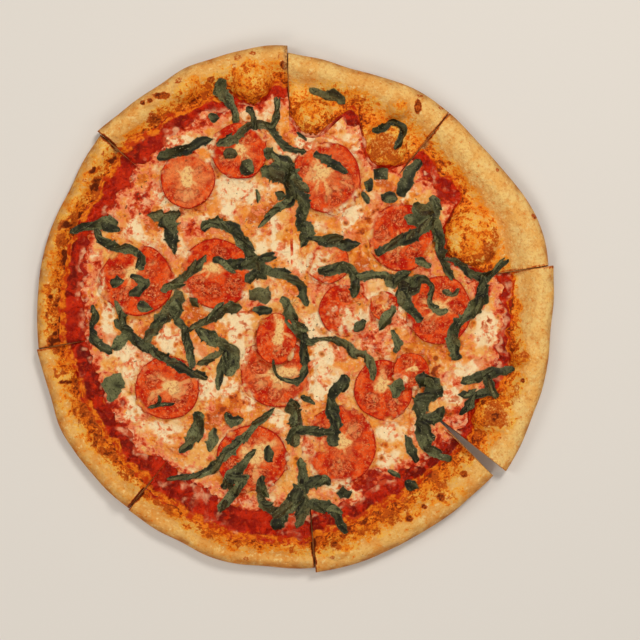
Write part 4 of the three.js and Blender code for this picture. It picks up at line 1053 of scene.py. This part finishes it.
def bread_material():
    paint = Paint("baked_bread")
    toast, char_and_cut_shade, crumb, under = paint.zones
    soft, blotch, grain = paint.noise(15, 3, 0.5, 0.4), paint.noise(4.6, 5, 0.65), paint.noise(1.6, 4, 0.7)
    fair = paint.coats((252, 190, 100), (soft, 0.36, 0.64, (255, 213, 130)))
    baked = paint.coats((240, 166, 80), (soft, 0.36, 0.64, (250, 194, 108)))
    orange = paint.coats((252, 156, 38), (soft, 0.4, 0.6, (255, 192, 78)))
    # Crumb colour: its own pale grain and brown specks, darkened with painted shade of the gaps
    inner = paint.coats((150, 88, 40), (grain, 0.4, 0.6, (224, 170, 104)))
    level = paint.add(paint.add(toast, blotch, 1.9), grain, 1.3)
    golden = paint.times(paint.step(level, 1.68, 1.9), paint.step(toast, 0.03, 0.18, 0.15, 1))
    grains = paint.step(paint.add(grain, toast, 0.2), 0.66, 0.74, 0, 0.95)
    # The char zone holds burnt spots and also the painted shade along the cuts
    burnt = paint.add(paint.add(char_and_cut_shade, grain, 1.1), blotch, 0.7)
    top = paint.coats(
        fair,
        (toast, 0.02, 0.1, baked),
        (blotch, 0.5, 0.64, 0, 0.65, (226, 150, 74)),
        (grain, 0.48, 0.7, 0, 0.65, (218, 130, 52)),
        (paint.noise(3, 3, 0.6), 0.54, 0.68, 0, 0.9, (255, 216, 140)),
        (golden, orange),
        (level, 1.93, 2.1, (242, 120, 20)),
        (level, 2.15, 2.28, (190, 76, 10)),
        (level, 2.32, 2.45, (122, 44, 8)),
        (paint.times(grains, paint.step(toast, 0.3, 0.65)), (116, 40, 4)),
        (paint.add(toast, grain, 0.35), 1.06, 1.18, (172, 36, 4)),
        (burnt, 1.2, 1.5, (200, 88, 18)),
        (burnt, 1.5, 1.78, (104, 38, 8)),
        (paint.add(paint.noise(2.4, 2, 0.5), toast, 0.06), 0.75, 0.8, 0, 0.7, (146, 66, 16)),
        (paint.times(under, paint.step(paint.noise(7, 4), 0.3, 0.7, 0.3, 1)), (164, 82, 24)),
        (paint.times(crumb, 0.9), inner),
    )
    relief = paint.add(paint.noise(2.6, 4, 0.65), grain, 0.8)
    return paint.surface(top, paint.step(toast, 0, 1, 0.7, 0.45), 0.1, relief, 1.3)


def sauce_material():
    paint = Paint("tomato_sauce")
    dark_and_cut_shade, smear, cheesy, _ = paint.zones
    wide, clump, fine = paint.noise(14, 3), paint.noise(7, 4, 0.6, 0.6), paint.noise(2, 3, 0.6)
    crusty = paint.coats((236, 130, 28), (paint.noise(4, 4, 0.65), 0.4, 0.58, (192, 56, 6)))
    cream = paint.coats((206, 78, 40), (paint.noise(5, 3), 0.4, 0.64, (246, 182, 136)))
    red = paint.coats(
        (148, 16, 0),
        (clump, 0.38, 0.62, (200, 38, 2)),
        (wide, 0.5, 0.68, 0, 0.25, (206, 54, 12)),
        # The dark zone holds darker sauce and the painted shade along the cuts
        (paint.times(dark_and_cut_shade, paint.step(clump, 0.42, 0.64, 0.75, 0.05)), (96, 12, 0)),
        (fine, 0.56, 0.74, 0, 0.5, (226, 84, 24)),
        (fine, 0.46, 0.28, 0, 0.7, (92, 8, 0)),
        (paint.add(smear, clump, 1.3), 1.05, 1.4, crusty),
        (paint.add(cheesy, paint.noise(9, 4, 0.55, 0.8), 1.6), 1.2, 1.75, 0, 0.8, cream),
    )
    wet = paint.step(paint.noise(2, 2), 0.35, 0.65, 0.1, 0.25)
    return paint.surface(red, wet, 0.09, paint.add(clump, fine, 0.45), 2.4)


def specks(paint, base, share):
    """Tiny dark flecks of herb, scattered in clusters"""
    flecks = paint.add(paint.noise(2, 1, 0.5, 0.6), paint.noise(24, 1), 0.3)
    return paint.coats(base, (flecks, 0.89, 0.93, 0, share, (80, 58, 20)))


def cheese_color(paint, pink, oily, speckled, thick):
    wide, mid, fine = paint.noise(22, 2, 0.5, 0.6), paint.noise(7, 4, 0.55, 0.5), paint.noise(2.4, 3, 0.6)
    pale = paint.add(paint.add(wide, fine, 0.12), thick, 0.2)
    rosy = paint.add(paint.noise(14, 2, 0.5, 0.8), thick, -0.16)
    warm = paint.add(paint.add(paint.noise(12, 3, 0.5, 0.4), oily, 0.22), thick, -0.12)
    marks = paint.times(paint.step(fine, 0.5, 0.68, 0, 0.5), paint.add(1.0, thick, -0.8))
    blisters = paint.add(paint.cells(9), paint.add(speckled, fine, 0.6), -0.16)
    lines = paint.step(paint.ridge(17, 4, 0.55, 1.0), 0.0, 0.05, 0.7, 0)
    lines = paint.times(lines, paint.step(mid, 0.46, 0.6))
    thin = paint.add(paint.add(pink, mid, 2.8), fine, 1.3)
    clots = paint.times(pink, paint.step(pink, 0.7, 1, 1.1, 0))
    spots = paint.add(paint.noise(5.5, 3, 0.5, 0.3), speckled, 0.12)
    body = paint.coats(
        (246, 178, 94),
        (pale, 0.53, 0.69, (255, 228, 178)),
        (rosy, 0.49, 0.63, 0, 0.8, (238, 130, 72)),
        (warm, 0.45, 0.59, 0, 0.9, (246, 148, 46)),
        (warm, 0.6, 0.71, 0, 0.9, (200, 84, 12)),
        (marks, (232, 128, 44)),
        (fine, 0.46, 0.28, 0, 0.45, (255, 236, 200)),
        (blisters, 0.08, 0.24, 0.85, 0, (228, 130, 28)),
        (blisters, -0.02, 0.1, 0.9, 0, (146, 54, 8)),
        (paint.times(lines, paint.add(1.0, thick, -0.85)), (212, 74, 22)),
        (thin, 2.2, 2.5, (242, 138, 88)),
        (thin, 2.5, 2.8, (208, 62, 20)),
        (thin, 2.8, 3.1, (158, 24, 0)),
        (paint.times(paint.step(paint.noise(6, 4, 0.6, 0.4), 0.52, 0.66), clots), (252, 196, 148)),
        (spots, 0.6, 0.7, 0, 0.8, (214, 90, 16)),
        (spots, 0.7, 0.78, 0, 0.85, (140, 48, 8)),
    )
    return specks(paint, body, 0.8)


def cheese_material():
    paint = Paint("melted_cheese")
    oily = paint.step(paint.noise(4, 2), 0.35, 0.65, 0.15, 0.4)
    relief = paint.add(paint.noise(7, 4, 0.55, 0.4), paint.noise(2, 3, 0.6), 0.35)
    return paint.surface(cheese_color(paint, *paint.zones), oily, 0.12, relief, 3.2)


def tomato_material():
    paint = Paint("tomato_flesh")
    wall, gel, core, film = paint.zones
    fine, veins = paint.noise(1.6, 4, 0.65), paint.noise(7, 4, 0.6, 1.5)
    line = paint.times(paint.step(gel, 0.15, 0.5), paint.step(veins, 0.35, 0.6, 0.1, 0.7))
    wet = paint.coats(
        (146, 10, 0),
        (paint.noise(3, 4, 0.6), 0.36, 0.66, (232, 84, 34)),
        (core, 0.1, 0.75, 0, 0.9, (248, 178, 108)),
        # Thin pale lines over the gel: painted highlights on the wet gel
        (paint.ridge(6.5, 3, 0.6, 1.4), 0.0, 0.05, 0.75, 0, (250, 142, 86)),
    )
    flesh = paint.coats(
        (192, 22, 0),
        (paint.noise(7, 4, 0.6), 0.4, 0.6, (242, 82, 20)),
        (veins, 0.5, 0.66, 0, 0.7, (250, 130, 66)),
        (core, 0.08, 0.5, 0, 0.85, (246, 142, 76)),
        (core, 0.4, 0.9, 0, 0.95, (255, 210, 136)),
        (fine, 0.5, 0.66, 0, 0.75, (172, 22, 0)),
        (wall, 0.5, 1.0, (188, 26, 8)),
        (line, (168, 24, 6)),
        (gel, 0.4, 0.85, 0, 0.9, wet),
        # Painted highlights: small pale glints on the flesh
        (paint.noise(1.6, 2, 0.6), 0.58, 0.68, 0, 0.75, (250, 144, 84)),
    )
    flesh = paint.mix(film, specks(paint, flesh, 0.6), cheese_color(paint, 0.25, 0.3, 0.2, 0.5))
    relief = paint.add(fine, paint.noise(0.8, 2), 1.0)
    return paint.surface(flesh, paint.step(gel, 0, 1, 0.25, 0.1), 0.08, relief, 0.6)


def basil_material():
    paint = Paint("basil_leaf")
    painted_lit_side, edge, leaf, _ = paint.zones
    fine = paint.noise(1.3, 4, 0.7)
    green = paint.coats(
        (20, 14, 3),
        (paint.noise(4, 4, 0.6), 0.38, 0.62, (48, 50, 20)),
        # Painted light: the lit side of each fold is painted paler
        (paint.times(painted_lit_side, 0.95), (118, 120, 78)),
        (leaf, 0.5, 0.9, 0, 0.55, (22, 22, 10)),
        (leaf, 0.3, 0.05, 0, 0.3, (96, 66, 20)),
        (fine, 0.5, 0.62, 0, 0.85, (18, 14, 3)),
        # Painted highlight along the edges, and the pale middle vein
        (paint.times(edge, 0.4), (130, 130, 90)),
        # Painted highlights: small pale glints on the leaf
        (paint.noise(1.2, 2), 0.65, 0.73, 0, 0.7, (166, 164, 124)),
    )
    return paint.surface(green, 0.3, 0.14, paint.add(fine, paint.noise(3, 3), 0.6), 0.45)


def floor_material():
    paint = Paint("pale_floor")
    paint.fill(paint.shader, {"Base Color": (226, 224, 220), "Roughness": 0.7})
    return paint.material


# ---------------- pieces


def add_object(name, data):
    thing = bpy.data.objects.new(name, data)
    bpy.context.scene.collection.objects.link(thing)
    return thing


def add_piece(shape, node, slot, materials):
    """Makes the mesh of a shape and lets it stand for the solid of that name."""
    points = (shape.all_points() + [SHIFT[0], SHIFT[1], 0]) * MM
    mesh = bpy.data.meshes.new(node + "_look")
    mesh.from_pydata(points.tolist(), [], shape.faces)
    mesh.polygons.foreach_set("material_index", shape.finishes)
    zones = mesh.color_attributes.new("zones", "FLOAT_COLOR", "POINT")
    zones.data.foreach_set("color", np.clip(np.concatenate(shape.zones), 0, 1).ravel())
    for material in materials:
        mesh.materials.append(material)
    turned = bmesh.new()
    turned.from_mesh(mesh)
    bmesh.ops.recalc_face_normals(turned, faces=turned.faces)
    turned.to_mesh(mesh)
    turned.free()
    mesh.shade_smooth()
    sharp = LEAF_SHARP_ANGLE if slot == "basil" else SHARP_ANGLE
    mesh.set_sharp_from_angle(angle=math.radians(sharp))
    piece = add_object(node + "_look", mesh)
    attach(piece, "root")
    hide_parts(node)


class Ground:
    """What lies there already, to find how high a topping has to lie"""

    def __init__(self):
        self.trees = []

    def add(self, shape):
        points = shape.all_points()
        tree = BVHTree.FromPolygons(points.tolist(), shape.faces)
        self.trees.append((points.min(axis=0) - 0.01, points.max(axis=0) + 0.01, tree))

    def height(self, x, y):
        top = 0
        for low, high, tree in self.trees:
            if low[0] <= x <= high[0] and low[1] <= y <= high[1] and high[2] > top:
                hit = tree.ray_cast(Vector((x, y, ABOVE_ALL)), Vector((0, 0, -1)))[0]
                if hit is not None:
                    top = max(top, hit.z)
        return top

    def heights(self, x, y):
        return np.vectorize(self.height, otypes=[float])(x, y)


def lay_shreds(shape, routes, seed, seed_step, ground, finish):
    """Adds shreds of basil to a shape, each lying on what is there already."""
    for index, route in enumerate(routes):
        strip = shred(route, seed + seed_step * index, ground)
        ground.add(strip)
        shape.join(strip, finish)


def build_pizza():
    kinds = [
        ("crust", crust, bread_material()),
        ("sauce", sauce, sauce_material()),
        ("cheese", cheese, cheese_material()),
    ]
    flesh, green = tomato_material(), basil_material()
    ground = Ground()
    waiting = []
    for letter, values in SLICES.items():
        part = Slice(letter, values)
        for kind, make, finish in kinds:
            shape = make(part)
            ground.add(shape)
            waiting.append((shape, kind + "_slice_" + letter, kind, finish))
    for number, values in enumerate(TOMATOES):
        shape = tomato(number, ground, *values)
        ground.add(shape)
        waiting.append((shape, "tomato_%02d" % (number + 1), "tomato", flesh))
    for number, (shape, name, kind, finish) in enumerate(waiting):
        lay_shreds(shape, SCRAPS.get(name, []), 100 + 11 * number, 3.7, ground, 1)
        add_piece(shape, name, kind, [finish, green])
    for number, routes in enumerate(BASIL):
        shape = Shape()
        extra = []
        for index, route in enumerate(routes):
            extra += side_shreds(route, 31 * number + 7 * index)
        lay_shreds(shape, routes + extra, 17 * number, 5, ground, 0)
        add_piece(shape, "basil_%02d" % (number + 1), "basil", [green])


def add_floor():
    mesh = bpy.data.meshes.new("floor")
    corners = [(-FLOOR, -FLOOR, 0), (FLOOR, -FLOOR, 0), (FLOOR, FLOOR, 0), (-FLOOR, FLOOR, 0)]
    mesh.from_pydata(corners, [], [(0, 1, 2, 3)])
    mesh.materials.append(floor_material())
    floor = add_object("floor", mesh)


def add_lamp(name, place, size, power):
    lamp = bpy.data.lights.new(name, "AREA")
    lamp.shape = "DISK"
    lamp.size = size
    lamp.energy = power
    lamp.color = LAMP_COLOR
    holder = add_object(name, lamp)
    holder.location = place
    holder.rotation_euler = Vector(place).to_track_quat("Z", "Y").to_euler()


def add_studio():
    add_floor()
    add_lamp("key", (0.6, 0.95, 1.5), 0.5, 15.5)
    add_lamp("left", (-1.3, 0.3, 1.5), 0.9, 9.5)
    add_lamp("front", (-0.4, -1.4, 1.5), 0.9, 8.5)
    add_lamp("right", (1.4, -0.7, 1.5), 0.9, 5)
    world = bpy.data.worlds.new("studio")
    world.use_nodes = True
    background = world.node_tree.nodes["Background"]
    background.inputs["Color"].default_value = (1, 0.96, 0.9, 1)
    background.inputs["Strength"].default_value = 0.24
    bpy.context.scene.world = world
    bpy.context.scene.view_settings.view_transform = "Standard"


def add_camera():
    """Straight above, a little right of and below the pizza's middle, with a frame FRAME_WIDTH wide"""
    camera = bpy.data.cameras.new("camera")
    camera.sensor_width = 36
    camera.lens = camera.sensor_width * (CAMERA_HEIGHT - TOPPINGS_HEIGHT) / FRAME_WIDTH
    holder = add_object("camera", camera)
    holder.location = ((FRAME_MIDDLE[0] + SHIFT[0]) * MM, (FRAME_MIDDLE[1] + SHIFT[1]) * MM, CAMERA_HEIGHT)
    bpy.context.scene.camera = holder


build_pizza()
add_studio()
add_camera()
